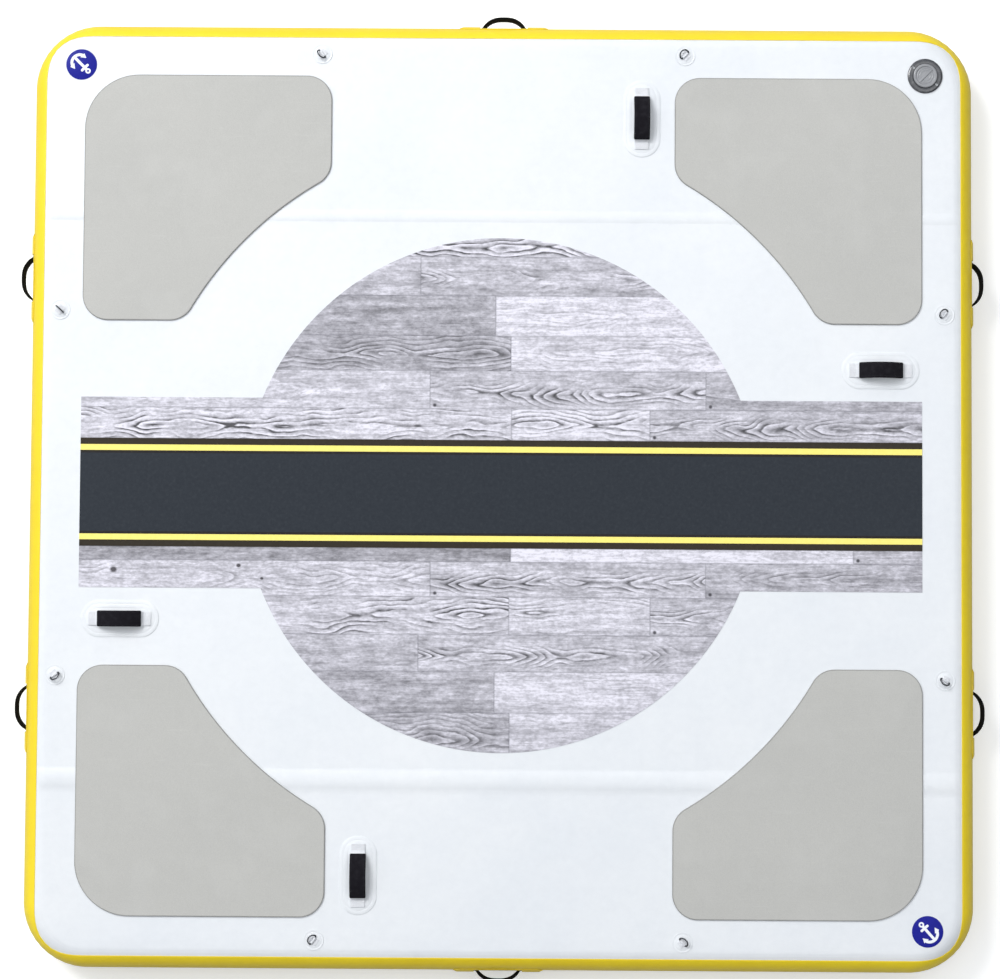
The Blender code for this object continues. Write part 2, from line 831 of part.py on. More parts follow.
def make_deck_rings():
    """Each ring swings about its bar, in a mount that is a round patch with a webbing keeper."""
    curve = ring_curve("d_ring", ring_wire, ring_inner_width, ring_corner)
    disc = mesh_from(
        "d_ring_mount", lambda bm: add_disc(bm, ring_patch_radius, ring_patch_thickness, patch_sides, Matrix())
    )
    outline = keeper_outline(ring_wire, ring_web_thickness, ring_web_reach)
    upright = frame_at((0, 0, ring_patch_thickness), (0, 1, 0), (0, 0, 1))
    keeper = mesh_from("keeper", lambda bm: add_prism(bm, outline, ring_web_width, upright))
    height = ring_patch_thickness + clearance + ring_wire / 2
    for name, frame, raised in deck_ring_frames():
        place = frame @ Matrix.Translation((0, 0, height)) @ Matrix.Rotation(raised, 4, "X")
        add_object(f"d_ring_{name}", curve, steel, place)
        mount = add_object(f"d_ring_mount_{name}", disc, white_webbing, frame)
        join(mount, add_cutter(f"keeper_{name}", keeper, frame), "webbing")


# Valve


def cylinder_cutter(name, radius, low, high, sides, matrix, places=((0, 0),)):
    """A cutter of one or more upright cylinders."""

    def build(bm):
        for x, y in places:
            add_disc(bm, radius, high - low, sides, Matrix.Translation((x, y, low)))

    return add_cutter(name, mesh_from(name, build), matrix)


def make_valve_body(place, flange_base, rim):
    """Flange, barrel, seat ring and the spider that guides the stem."""
    shelf = rim - recess_depth
    seat = -barrel_depth
    guide = stem_radius + stem_bush_clearance
    spider = -spider_depth
    profile = [
        (recess_radius + recess_depth, rim),
        (flange_radius - flange_slope, flange_base + flange_thickness - flange_lip / 2),
        (flange_radius, flange_base + flange_lip),
        (flange_radius, flange_base),
        (barrel_radius, flange_base),
        (barrel_radius, seat),
        (seat_radius, seat),
        (seat_radius, seat + seat_thickness),
        (bore_radius, seat + seat_thickness),
        (bore_radius, spider - spider_thickness),
        (guide, spider - spider_thickness),
        (guide, spider),
        (bore_radius, spider),
        (bore_radius, shelf),
        (recess_radius, shelf),
        (recess_radius, rim),
    ]
    body = turned("valve_body", profile, grey_plastic, place)
    reach = flange_radius - spanner_hole_inset
    angles = (spanner_angle, spanner_angle + math.pi)
    holes = [(reach * math.cos(angle), reach * math.sin(angle)) for angle in angles]
    low = flange_base - cut_overrun
    cut(body, cylinder_cutter("spanner_holes", spanner_hole_radius, low, rim + cut_overrun, 12, place, holes))
    middle = (guide + bore_radius) / 2
    turns = [math.pi / 4 + math.pi / 2 * index for index in range(4)]
    ports = [(middle * math.cos(turn), middle * math.sin(turn)) for turn in turns]
    low = spider - spider_thickness - cut_overrun
    cut(body, cylinder_cutter("spider_ports", spider_port_radius, low, spider + cut_overrun, 12, place, ports), "ports")


def make_valve_clamp(place, skin):
    """The gasket on the deck, the nut inside the chamber and the hole through the skin."""
    hole = barrel_radius + 2 * clearance
    low = -skin_thickness - cut_overrun
    cut(skin, cylinder_cutter("valve_hole", hole, low, cut_overrun, valve_sides, place), "valve hole")
    ring_profile = [
        (gasket_radius, clearance + gasket_thickness),
        (gasket_radius, clearance),
        (barrel_radius + clearance, clearance),
        (barrel_radius + clearance, clearance + gasket_thickness),
    ]
    turned("valve_gasket", ring_profile, rubber, place)
    top = -skin_thickness - clearance
    mesh = mesh_from(
        "valve_nut",
        lambda bm: add_disc(bm, nut_radius, nut_height, nut_sides, Matrix.Translation((0, 0, top - nut_height))),
    )
    nut = add_object("valve_nut", mesh, grey_plastic, place)
    low = top - nut_height - cut_overrun
    cut(nut, cylinder_cutter("nut_bore", barrel_radius + clearance, low, top + cut_overrun, valve_sides, place))


def make_valve_cap(place, shelf):
    """The cap with its finger rib and skirt, and the seal ring that it presses down."""
    seal_base = shelf + clearance
    seal = [
        (cap_radius, seal_base + seal_thickness),
        (cap_radius, seal_base),
        (seal_inner_radius, seal_base),
        (seal_inner_radius, seal_base + seal_thickness),
    ]
    turned("valve_cap_seal", seal, rubber, place)
    base = seal_base + seal_thickness + clearance
    top = base + cap_thickness
    rim_width = cap_radius - cap_dish_radius
    inner = cap_skirt_radius - cap_skirt_wall
    dish = top - (cap_thickness - cap_floor / 2)
    profile = [
        (0, dish),
        (cap_dish_radius - rim_width / 6, dish),
        (cap_dish_radius, top),
        (cap_radius - rim_width / 4, top),
        (cap_radius, top - cap_thickness / 3),
        (cap_radius, base),
        (cap_skirt_radius, base),
        (cap_skirt_radius, base - cap_skirt_depth),
        (inner, base - cap_skirt_depth),
        (inner, dish - cap_floor),
        (0, dish - cap_floor),
    ]
    cap = turned("valve_cap", profile, grey_plastic, place)
    half = Vector((cap_rib_length / 2, cap_rib_width / 2))
    turn = Matrix.Rotation(cap_rib_angle, 4, "Z")
    low = (-half.x, -half.y, dish - cap_floor / 2)
    high = (half.x, half.y, top - clearance)
    mesh = mesh_from("cap_rib", lambda bm: add_box(bm, low, high, turn))
    join(cap, add_cutter("cap_rib", mesh, place), "finger rib")


def make_valve_stem(place):
    """Push-button stem, the rubber diaphragm under the seat and the spring that lifts them."""
    head = -stem_head_depth
    under_head = head - stem_head_thickness
    top = -barrel_depth - clearance
    base = top - diaphragm_thickness
    foot = base - clearance
    stem = [
        (0, head),
        (stem_head_radius, head),
        (stem_head_radius, under_head),
        (stem_radius, under_head),
        (stem_radius, foot),
        (stem_foot_radius, foot),
        (stem_foot_radius, foot - stem_foot_thickness),
        (0, foot - stem_foot_thickness),
    ]
    turned("valve_stem", stem, grey_plastic, place, valve_sides // 2)
    disc = [
        (diaphragm_radius, top),
        (diaphragm_radius, base),
        (stem_radius + clearance, base),
        (stem_radius + clearance, top),
    ]
    turned("valve_diaphragm", disc, rubber, place)

    low = -spider_depth + clearance + spring_wire / 2
    high = under_head - clearance - spring_wire / 2
    curve = bpy.data.curves.new("valve_spring", "CURVE")
    curve.dimensions = "3D"
    curve.bevel_depth = spring_wire / 2
    curve.bevel_resolution = 1
    curve.use_fill_caps = True
    spline = curve.splines.new("POLY")
    count = spring_turns * spring_steps
    spline.points.add(count)
    for index, point in enumerate(spline.points):
        angle = math.tau * index / spring_steps
        height = low + (high - low) * index / count
        point.co = (spring_radius * math.cos(angle), spring_radius * math.sin(angle), height, 1)
    add_object("valve_spring", curve, steel, place)


def make_valve(skin):
    place = Matrix.Translation(valve_centre())
    flange_base = clearance + gasket_thickness + clearance
    rim = flange_base + flange_thickness
    make_valve_body(place, flange_base, rim)
    make_valve_clamp(place, skin)
    make_valve_cap(place, rim - recess_depth)
    make_valve_stem(place)


top_skin = make_skins()
make_band()
make_core()
make_prints()
make_badges()
make_pads()
for handle_name, handle_frame in handle_frames():
    make_handle(handle_name, handle_frame)
for loop_name, loop_frame in wall_frames():
    make_loop(loop_name, loop_frame)
make_deck_rings()
make_valve(top_skin)
for piece in dock.objects:
    if piece.type == "MESH":
        smooth(piece.data)
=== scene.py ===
import json
import math

import bmesh
import bpy
from mathutils import Matrix, Vector

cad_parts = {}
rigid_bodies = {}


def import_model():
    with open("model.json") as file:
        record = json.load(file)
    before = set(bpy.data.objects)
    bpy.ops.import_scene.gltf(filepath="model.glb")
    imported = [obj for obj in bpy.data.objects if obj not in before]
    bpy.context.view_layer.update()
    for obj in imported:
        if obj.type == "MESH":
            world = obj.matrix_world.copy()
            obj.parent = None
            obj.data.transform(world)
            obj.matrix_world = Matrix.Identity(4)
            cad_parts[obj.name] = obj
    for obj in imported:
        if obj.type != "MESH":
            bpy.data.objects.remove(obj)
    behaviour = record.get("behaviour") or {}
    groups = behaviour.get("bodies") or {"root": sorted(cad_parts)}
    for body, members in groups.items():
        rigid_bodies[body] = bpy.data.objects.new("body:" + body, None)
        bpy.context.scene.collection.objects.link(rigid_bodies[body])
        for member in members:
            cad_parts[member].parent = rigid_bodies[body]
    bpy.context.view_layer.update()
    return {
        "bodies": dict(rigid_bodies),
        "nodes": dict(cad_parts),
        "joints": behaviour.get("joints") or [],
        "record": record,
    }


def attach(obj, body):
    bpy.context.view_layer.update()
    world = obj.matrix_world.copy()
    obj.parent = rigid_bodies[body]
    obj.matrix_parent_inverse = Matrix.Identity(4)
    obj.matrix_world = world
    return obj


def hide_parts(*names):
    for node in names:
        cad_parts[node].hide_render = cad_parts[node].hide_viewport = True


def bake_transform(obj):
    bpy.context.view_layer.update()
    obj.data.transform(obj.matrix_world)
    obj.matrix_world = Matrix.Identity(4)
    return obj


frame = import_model()
scene = bpy.context.scene
nothing = 1e-5  # two points closer than this are one
quarter = math.pi / 2

print("camera, light and floor")

# The photo was taken from straight above the front edge, from about six metres
cameraView = {
    "place": (0.0109, -0.265, 6.152),
    "turn": (0.0462, 0.0019, 0.0067),
    "lens": 84.15,
    "sensor": 36.0,
}
studio = {
    "worldStrength": 0.88, "wallShare": 0.14, "softBox": (-0.34, 0.28, 0.90),
    "backdrop": (0.90, 0.92, 0.94, 1),
    "keyPlace": (-4.9, 5.2, 7.4), "keySize": 4.6, "keyPower": 700.0,
    "fillPlace": (2.6, 0.6, 6.0), "fillSize": 4.5, "fillPower": 55.0,
    "wallTint": (0.93, 0.96, 1.0, 1), "fadeFrom": 0.05, "fadeTo": 0.85,
    "floorHalf": 60.0, "floorDrop": 0.0004, "floorGlow": 0.25, "floorShare": 0.5,
}


def addNode(tree, kind, links=None, **settings):
    # a node, its settings, and what goes into it: a value or another node's socket
    node = tree.nodes.new(kind)
    for key, value in settings.items():
        setattr(node, key, value)
    for key, value in (links or {}).items():
        if isinstance(value, bpy.types.NodeSocket):
            tree.links.new(value, node.inputs[key])
        else:
            node.inputs[key].default_value = value
    return node


def calc(tree, operation, first, second=0.0, third=0.0):
    links = {0: first, 1: second}
    if operation == "MULTIPLY_ADD":
        links[2] = third
    return addNode(tree, "ShaderNodeMath", links, operation=operation).outputs[0]


def mapRange(tree, value, low, high, toLow=0.0, toHigh=1.0, smooth=False):
    kind = "SMOOTHSTEP" if smooth else "LINEAR"
    links = {"Value": value, "From Min": low, "From Max": high, "To Min": toLow, "To Max": toHigh}
    return addNode(tree, "ShaderNodeMapRange", links, interpolation_type=kind).outputs["Result"]


def mixColour(tree, share, first, second, blend="MIX"):
    links = {0: share, 6: first, 7: second}  # the sockets of the node's colour form
    return addNode(tree, "ShaderNodeMix", links, data_type="RGBA", blend_type=blend).outputs[2]


def makeCamera():
    data = bpy.data.cameras.new("camera")
    data.lens = cameraView["lens"]
    data.sensor_width = cameraView["sensor"]
    data.sensor_fit = "HORIZONTAL"
    data.clip_end = 100.0
    item = bpy.data.objects.new("camera", data)
    item.location = cameraView["place"]
    item.rotation_euler = cameraView["turn"]
    scene.collection.objects.link(item)
    scene.camera = item


def makeLamp(name, place, size, power):
    data = bpy.data.lights.new(name, "AREA")
    data.shape = "DISK"
    data.size = size
    data.energy = power
    item = bpy.data.objects.new(name, data)
    item.location = place
    item.rotation_euler = (-Vector(place)).to_track_quat("-Z", "Y").to_euler()
    scene.collection.objects.link(item)


def makeWorld():
    # a soft box over the rear left fades to grey walls, so that metal and gloss have something to show
    world = bpy.data.worlds.new("studio")
    scene.world = world
    world.use_nodes = True
    tree = world.node_tree
    way = addNode(tree, "ShaderNodeTexCoord").outputs["Generated"]
    links = {0: way, 1: Vector(studio["softBox"]).normalized()}
    up = addNode(tree, "ShaderNodeVectorMath", links, operation="DOT_PRODUCT").outputs["Value"]
    fade = mapRange(tree, up, studio["fadeFrom"], studio["fadeTo"], studio["wallShare"], 1.0, True)
    walls = mixColour(tree, 1.0, studio["wallTint"], fade, "MULTIPLY")
    # the camera sees a plain pale backdrop beyond the floor
    seen = addNode(tree, "ShaderNodeLightPath").outputs["Is Camera Ray"]
    light = tree.nodes["Background"]
    light.inputs["Strength"].default_value = studio["worldStrength"]
    tree.links.new(mixColour(tree, seen, walls, studio["backdrop"]), light.inputs["Color"])


makeCamera()
makeWorld()
makeLamp("key lamp", studio["keyPlace"], studio["keySize"], studio["keyPower"])
makeLamp("fill lamp", studio["fillPlace"], studio["fillSize"], studio["fillPower"])
scene.view_settings.view_transform = "Standard"

print("shared finishes")


def noiseAt(tree, place, size, detail, roughness=0.5):
    links = {"Vector": place, "Scale": size, "Detail": detail, "Roughness": roughness}
    return addNode(tree, "ShaderNodeTexNoise", links).outputs[0]


def startGroup(name, inputs, outputs):
    tree = bpy.data.node_groups.new(name, "ShaderNodeTree")
    for label, kind, value in inputs:
        socket = tree.interface.new_socket(label, in_out="INPUT", socket_type=kind)
        if value is not None:
            socket.default_value = value
    for label, kind in outputs:
        tree.interface.new_socket(label, in_out="OUTPUT", socket_type=kind)
    return tree, tree.nodes.new("NodeGroupInput"), tree.nodes.new("NodeGroupOutput")


def makeWeave():
    # over and under threads of a plain weave: height, and where the thread lies on top
    tree, given, result = startGroup(
        "threadWeave",
        (("Vector", "NodeSocketVector", None), ("Across", "NodeSocketFloat", 900.0),
         ("Along", "NodeSocketFloat", 900.0)),
        (("Height", "NodeSocketFloat"), ("Over", "NodeSocketFloat")),
    )
    parts = addNode(tree, "ShaderNodeSeparateXYZ", {0: given.outputs["Vector"]})
    u = calc(tree, "MULTIPLY", parts.outputs["X"], given.outputs["Across"])
    v = calc(tree, "MULTIPLY", parts.outputs["Y"], given.outputs["Along"])
    first, second = [calc(tree, "ABSOLUTE", calc(tree, "SINE", calc(tree, "MULTIPLY", way, math.pi)))
                     for way in (u, v)]
    cell = calc(tree, "ADD", calc(tree, "FLOOR", u), calc(tree, "FLOOR", v))
    # every other cell
    over = calc(tree, "GREATER_THAN", calc(tree, "FRACT", calc(tree, "MULTIPLY", cell, 0.5)), 0.25)
    under = calc(tree, "SUBTRACT", 1.0, over)
    height = calc(tree, "ADD", calc(tree, "MULTIPLY", first, over), calc(tree, "MULTIPLY", second, under))
    tree.links.new(height, result.inputs["Height"])
    tree.links.new(over, result.inputs["Over"])
    return tree


def makeMottle():
    # slow and fine colour changes over a surface, with the same mask to drive the gloss
    tree, given, result = startGroup(
        "mottledTone",
        (("Vector", "NodeSocketVector", None), ("Size", "NodeSocketFloat", 5.0),
         ("Light", "NodeSocketColor", (1, 1, 1, 1)), ("Dark", "NodeSocketColor", (0.9, 0.9, 0.9, 1)),
         ("Contrast", "NodeSocketFloat", 0.5)),
        (("Color", "NodeSocketColor"), ("Mask", "NodeSocketFloat")),
    )
    cloud = noiseAt(tree, given.outputs["Vector"], given.outputs["Size"], 5.0, 0.62)
    mask = calc(tree, "MULTIPLY", mapRange(tree, cloud, 0.32, 0.68), given.outputs["Contrast"])
    colour = mixColour(tree, mask, given.outputs["Light"], given.outputs["Dark"])
    tree.links.new(colour, result.inputs["Color"])
    tree.links.new(mask, result.inputs["Mask"])
    return tree


def makeScuffs():
    # thin straight scratches and rubbed spots: 0 untouched, 1 worn
    tree, given, result = startGroup(
        "scuffs",
        (("Vector", "NodeSocketVector", None), ("Size", "NodeSocketFloat", 30.0),
         ("Amount", "NodeSocketFloat", 0.3)),
        (("Mask", "NodeSocketFloat"),),
    )
    stretched = addNode(tree, "ShaderNodeMapping", {0: given.outputs["Vector"], "Scale": (1, 14, 5),
                                                    "Rotation": (0.3, 0.5, 0.7)})
    lines = mapRange(tree, noiseAt(tree, stretched.outputs[0], given.outputs["Size"], 3.0), 0.62, 0.72)
    spots = mapRange(tree, noiseAt(tree, given.outputs["Vector"], given.outputs["Size"], 4.0), 0.5, 0.75)
    both = calc(tree, "MAXIMUM", calc(tree, "MULTIPLY", lines, 0.7), spots)
    tree.links.new(calc(tree, "MULTIPLY", both, given.outputs["Amount"]), result.inputs["Mask"])
    return tree


weaveGroup = makeWeave()
mottleGroup = makeMottle()
scuffGroup = makeScuffs()


def attribute(tree, name):
    # what the piece's own points or corners say, such as how far along a strap they lie, in metres
    return addNode(tree, "ShaderNodeAttribute", attribute_name=name).outputs["Vector"]


def mottled(tree, place, size, light, dark, contrast):
    links = {"Vector": place, "Size": size, "Light": light, "Dark": dark, "Contrast": contrast}
    return addNode(tree, "ShaderNodeGroup", links, node_tree=mottleGroup)


def scuffed(tree, place, size, amount):
    links = {"Vector": place, "Size": size, "Amount": amount}
    return addNode(tree, "ShaderNodeGroup", links, node_tree=scuffGroup).outputs["Mask"]


def woven(tree, across, along):
    # the weave on a strap or sleeve, in threads for each metre across and along it
    links = {"Vector": attribute(tree, "cloth"), "Across": across, "Along": along}
    return addNode(tree, "ShaderNodeGroup", links, node_tree=weaveGroup).outputs["Height"]


def startMaterial(name, roughness, metallic=0.0, sheen=0.0, coat=0.0, specular=0.5):
    material = bpy.data.materials.new(name)
    material.use_nodes = True
    tree = material.node_tree
    shader = tree.nodes["Principled BSDF"]
    shader.inputs["Roughness"].default_value = roughness
    shader.inputs["Metallic"].default_value = metallic
    shader.inputs["Specular IOR Level"].default_value = specular
    shader.inputs["Sheen Weight"].default_value = sheen
    shader.inputs["Coat Weight"].default_value = coat
    place = addNode(tree, "ShaderNodeTexCoord").outputs["Object"]
    return material, tree, shader, place


def addBump(tree, shader, height, distance, strength=1.0, under=None):
    links = {"Height": height, "Distance": distance, "Strength": strength}
    if under is not None:
        links["Normal"] = under
    bump = addNode(tree, "ShaderNodeBump", links)
    tree.links.new(bump.outputs["Normal"], shader.inputs["Normal"])
    return bump.outputs["Normal"]


def feed(tree, shader, colour=None, roughness=None):
    if colour is not None:
        tree.links.new(colour, shader.inputs["Base Color"])
    if roughness is not None:
        tree.links.new(roughness, shader.inputs["Roughness"])


def coatedFabric(name, light, dark, thread, depth):
    # PVC over a base cloth: the threads print through, with slow dents from the core
    material, tree, shader, place = startMaterial(name, 0.34, coat=0.12, specular=0.5)
    tone = mottled(tree, place, 3.1, light, dark, 0.75)
    fine = mottled(tree, place, 46.0, (1, 1, 1, 1), (0.95, 0.95, 0.955, 1), 0.6)
    colour = mixColour(tree, 1.0, tone.outputs["Color"], fine.outputs["Color"], "MULTIPLY")
    gloss = mapRange(tree, fine.outputs["Mask"], 0.0, 0.6, 0.29, 0.42)
    feed(tree, shader, colour, gloss)
    parts = addNode(tree, "ShaderNodeSeparateXYZ", {0: place})
    waves = [calc(tree, "SINE", calc(tree, "MULTIPLY", parts.outputs[axis], thread)) for axis in "XYZ"]
    threads = calc(tree, "ADD", calc(tree, "ADD", waves[0], waves[1]), waves[2])
    slow = addBump(tree, shader, noiseAt(tree, place, 17.0, 2.0), 0.0022, 0.5)
    addBump(tree, shader, threads, depth, 0.35, slow)
    return material


def foamSheet(name, shade):
    # EVA foam: closed cells pressed into a fine grain, a little lighter where feet rub it
    material, tree, shader, place = startMaterial(name, 0.86, specular=0.25, sheen=0.05)
    light, dark = [(*(shade * value for value in tint), 1)
                   for tint in ((0.505, 0.50, 0.475), (0.465, 0.463, 0.442))]
    tone = mottled(tree, place, 2.2, light, dark, 0.8)
    speck = mapRange(tree, noiseAt(tree, place, 700.0, 2.0), 0.35, 0.65, 0.93, 1.04)
    colour = mixColour(tree, 1.0, tone.outputs["Color"], speck, "MULTIPLY")
    rubbed = scuffed(tree, place, 9.0, 0.16)
    colour = mixColour(tree, rubbed, colour, (0.62, 0.615, 0.59, 1))
    feed(tree, shader, colour, mapRange(tree, rubbed, 0.0, 0.16, 0.88, 0.74))
    cells = addNode(tree, "ShaderNodeTexVoronoi", {"Vector": place, "Scale": 620.0})
    addBump(tree, shader, cells.outputs["Distance"], 0.0004, 0.6)
    return material


wood = {
    "rings": 18.0, "ringSlope": -4.6, "lean": 0.8,
    "heartLow": 0.38, "heartHigh": 0.60, "heartRound": 0.000012,
    "heartSway": 0.040, "levelSway": 0.72, "bendSway": 0.16, "fineSway": 0.05,
    "tint": (0.925, 0.905, 1.0, 1), "brightest": 0.86,
    "lineDepth": -0.86, "darkestLine": 0.12, "lineGlow": 0.24,
    "gapColour": (0.10, 0.10, 0.12, 1), "markColour": (0.03, 0.028, 0.035, 1),
    "nailPlace": (0.012, 0.009), "nailCore": 0.0026, "nailEdge": 0.0062,
    "knots": ((-0.993, -0.199, 0.0115), (-0.672, -0.187, 0.0075), (-0.612, -0.220, 0.0055)),
    "knotWide": 1.2, "knotColour": (0.035, 0.03, 0.035, 1),
}


def grainNoise(tree, plank, alongScale, acrossScale, detail, roughness=0.5):
    spot = addNode(tree, "ShaderNodeCombineXYZ", {0: calc(tree, "MULTIPLY", plank["along"], alongScale),
                                                  1: calc(tree, "MULTIPLY", plank["across"], acrossScale),
                                                  2: plank["shift"]})
    return noiseAt(tree, spot.outputs[0], 1.0, detail, roughness)


def sway(tree, value, reach):
    return calc(tree, "MULTIPLY", calc(tree, "SUBTRACT", value, 0.5), reach)


def readPlank(tree):
    # what each plank's corners say: its look, and the place and the plank's size in metres
    look = addNode(tree, "ShaderNodeAttribute", attribute_name="plank")
    own = addNode(tree, "ShaderNodeSeparateColor", {0: look.outputs["Color"]})
    here = addNode(tree, "ShaderNodeSeparateXYZ", {0: attribute(tree, "grain")})
    size = addNode(tree, "ShaderNodeSeparateXYZ", {0: attribute(tree, "rim")})
    return {"tone": own.outputs[0], "seed": own.outputs[1], "figure": own.outputs[2],
            "leaning": look.outputs["Alpha"], "along": here.outputs["X"], "across": here.outputs["Y"],
            "long": size.outputs["X"], "wide": size.outputs["Y"],
            "shift": calc(tree, "MULTIPLY", own.outputs[1], 37.0)}


def growthRings(tree, plank):
    # the dark and the light beside each ring. A saw cut leaves nested pointed lines along a plank's heart
    heart = calc(tree, "MULTIPLY", plank["wide"],
                 mapRange(tree, plank["seed"], 0.0, 1.0, wood["heartLow"], wood["heartHigh"]))
    side = calc(tree, "ADD", calc(tree, "SUBTRACT", plank["across"], heart),
                sway(tree, grainNoise(tree, plank, 5.0, 9.0, 2.0), wood["heartSway"]))
    side = calc(tree, "SQRT", calc(tree, "MULTIPLY_ADD", side, side, wood["heartRound"]))
    lean = calc(tree, "MULTIPLY_ADD", plank["leaning"], 2 * wood["lean"], -wood["lean"])
    # a field over the plank, whose level lines are the rings
    field = calc(tree, "MULTIPLY_ADD", plank["along"], lean,
                 sway(tree, grainNoise(tree, plank, 3.2, 0.0, 2.0), wood["levelSway"]))
    field = calc(tree, "MULTIPLY_ADD", side, wood["ringSlope"], field)
    field = calc(tree, "ADD", field, sway(tree, grainNoise(tree, plank, 7.0, 13.0, 2.0), wood["bendSway"]))
    field = calc(tree, "ADD", field, sway(tree, grainNoise(tree, plank, 15.0, 42.0, 3.0), wood["fineSway"]))
    level = calc(tree, "FRACT", calc(tree, "MULTIPLY", field, wood["rings"]))
    dark = mapRange(tree, level, 0.40, 0.86, 0.0, 1.0, True)
    dark = calc(tree, "MULTIPLY", dark, mapRange(tree, level, 0.88, 1.0, 1.0, 0.0))
    light = mapRange(tree, level, 0.0, 0.42, 1.0, 0.0)
    strength = mapRange(tree, grainNoise(tree, plank, 4.6, 11.0, 4.0, 0.6), 0.42, 0.57, 0.06, 1.0)
    strength = calc(tree, "MULTIPLY", strength, plank["figure"])
    # pointed figures keep to the heart
    spread = mapRange(tree, calc(tree, "ABSOLUTE", lean), 0.3 * wood["lean"], wood["lean"], 0.58, 0.10)
    strength = calc(tree, "MULTIPLY", strength, mapRange(tree, side, 0.010, 0.032, 1.0, spread))
    broken = mapRange(tree, grainNoise(tree, plank, 34.0, 70.0, 3.0, 0.6), 0.36, 0.58, 0.50, 1.0)
    dark = calc(tree, "MULTIPLY", dark, broken)
    return calc(tree, "MULTIPLY", dark, strength), calc(tree, "MULTIPLY", light, strength)


def plankTone(tree, plank):
    # brightness of the bare wood: streaks, fibres, soft patches and specks
    patches = mapRange(tree, grainNoise(tree, plank, 19.0, 40.0, 4.0, 0.72), 0.34, 0.66, -0.34, 0.24)
    share = mapRange(tree, plank["tone"], 0.0, 0.7, 0.40, 1.10)
    factors = (
        mapRange(tree, grainNoise(tree, plank, 4.0, 52.0, 5.0, 0.68), 0.33, 0.67, 0.74, 1.22),
        mapRange(tree, grainNoise(tree, plank, 19.0, 270.0, 3.0, 0.6), 0.30, 0.70, 0.82, 1.13),
        calc(tree, "MULTIPLY_ADD", patches, share, 1.0),
        mapRange(tree, grainNoise(tree, plank, 85.0, 150.0, 2.0, 0.6), 0.36, 0.60, 0.80, 1.07),
    )
    value = mapRange(tree, plank["tone"], 0.0, 1.0, 0.86, 0.26)
    for factor in factors:
        value = calc(tree, "MULTIPLY", value, factor)
    return value


def plankMarks(tree, plank, place, colour):
    # a faint dark line where planks meet, a nail mark at the lower left of some, and three knots
    edge = calc(tree, "MINIMUM", plank["across"], calc(tree, "SUBTRACT", plank["wide"], plank["across"]))
    end = calc(tree, "MINIMUM", plank["along"], calc(tree, "SUBTRACT", plank["long"], plank["along"]))
    gap = mapRange(tree, calc(tree, "MINIMUM", edge, end), 0.0004, 0.0030, 0.34, 0.0)
    colour = mixColour(tree, gap, colour, wood["gapColour"])
    spot = addNode(tree, "ShaderNodeCombineXYZ",
                   {0: calc(tree, "SUBTRACT", plank["along"], wood["nailPlace"][0]),
                    1: calc(tree, "SUBTRACT", plank["across"], wood["nailPlace"][1]), 2: 0.0})
    nail = addNode(tree, "ShaderNodeVectorMath", {0: spot.outputs[0]}, operation="LENGTH").outputs["Value"]
    nail = mapRange(tree, nail, wood["nailCore"], wood["nailEdge"], 0.90, 0.0)
    nail = calc(tree, "MULTIPLY", nail, mapRange(tree, plank["leaning"], 0.9, 1.0))
    colour = mixColour(tree, nail, colour, wood["markColour"])
    for x, y, size in wood["knots"]:
        centred = {0: place, "Location": (-x, -wood["knotWide"] * y, 0), "Scale": (1.0, wood["knotWide"], 0)}
        spot = addNode(tree, "ShaderNodeMapping", centred)
        knot = addNode(tree, "ShaderNodeVectorMath", {0: spot.outputs[0]}, operation="LENGTH").outputs["Value"]
        knot = mapRange(tree, knot, size * 0.5, size, 0.92, 0.0)
        colour = mixColour(tree, knot, colour, wood["knotColour"])
    return colour


def woodInk():
    # grey-washed planks, printed on a sheet with a fine dotted surface
    material, tree, shader, place = startMaterial("woodPrint", 0.5, specular=0.3)
    plank = readPlank(tree)
    dark, light = growthRings(tree, plank)
    value = calc(tree, "MULTIPLY_ADD", light, wood["lineGlow"], plankTone(tree, plank))
    shade = calc(tree, "MULTIPLY_ADD", dark, wood["lineDepth"], 1.0)
    value = calc(tree, "MULTIPLY", value, calc(tree, "MAXIMUM", shade, wood["darkestLine"]))
    value = calc(tree, "MINIMUM", value, wood["brightest"])
    colour = plankMarks(tree, plank, place, mixColour(tree, 1.0, wood["tint"], value, "MULTIPLY"))
    dotted = addNode(tree, "ShaderNodeTexVoronoi", {"Vector": place, "Scale": 420.0}).outputs[0]
    feed(tree, shader, colour, mapRange(tree, dotted, 0.0, 0.7, 0.46, 0.6))
    addBump(tree, shader, dotted, 0.0002, 0.4)
    return material


def flatInk(name, light, dark, roughness=0.46, wear=(0.30, 0.30, 0.31, 1), specular=0.22):
    # printed colour on a thin film, with a fine orange-peel surface and faint wear
    material, tree, shader, place = startMaterial(name, roughness, specular=specular)
    tone = mottled(tree, place, 120.0, light, dark, 0.9).outputs["Color"]
    colour = mixColour(tree, scuffed(tree, place, 110.0, 0.02), tone, wear)
    peel = noiseAt(tree, place, 520.0, 2.0)
    feed(tree, shader, colour, mapRange(tree, peel, 0.3, 0.7, roughness - 0.05, roughness + 0.1))
    addBump(tree, shader, peel, 0.0003, 0.35)
    return material


def webbing(name, light, dark, across, along, roughness=0.7, sheen=0.2):
    # flat woven tape with heavy ribs; the hollows between its threads are painted darker, as painted shade
    material, tree, shader, place = startMaterial(name, roughness, sheen=sheen, specular=0.12)
    height = woven(tree, along, across)
    shade = mapRange(tree, height, 0.0, 1.0, 0.35, 1.0)
    tone = mottled(tree, place, 60.0, light, dark, 0.9).outputs["Color"]
    # painted shade: the weave's low parts take on more of the dark tone
    colour = mixColour(tree, shade, dark, tone)
    feed(tree, shader, colour, mapRange(tree, height, 0.0, 1.0, roughness + 0.15, roughness))
    addBump(tree, shader, height, 0.0004, 0.8)
    return material


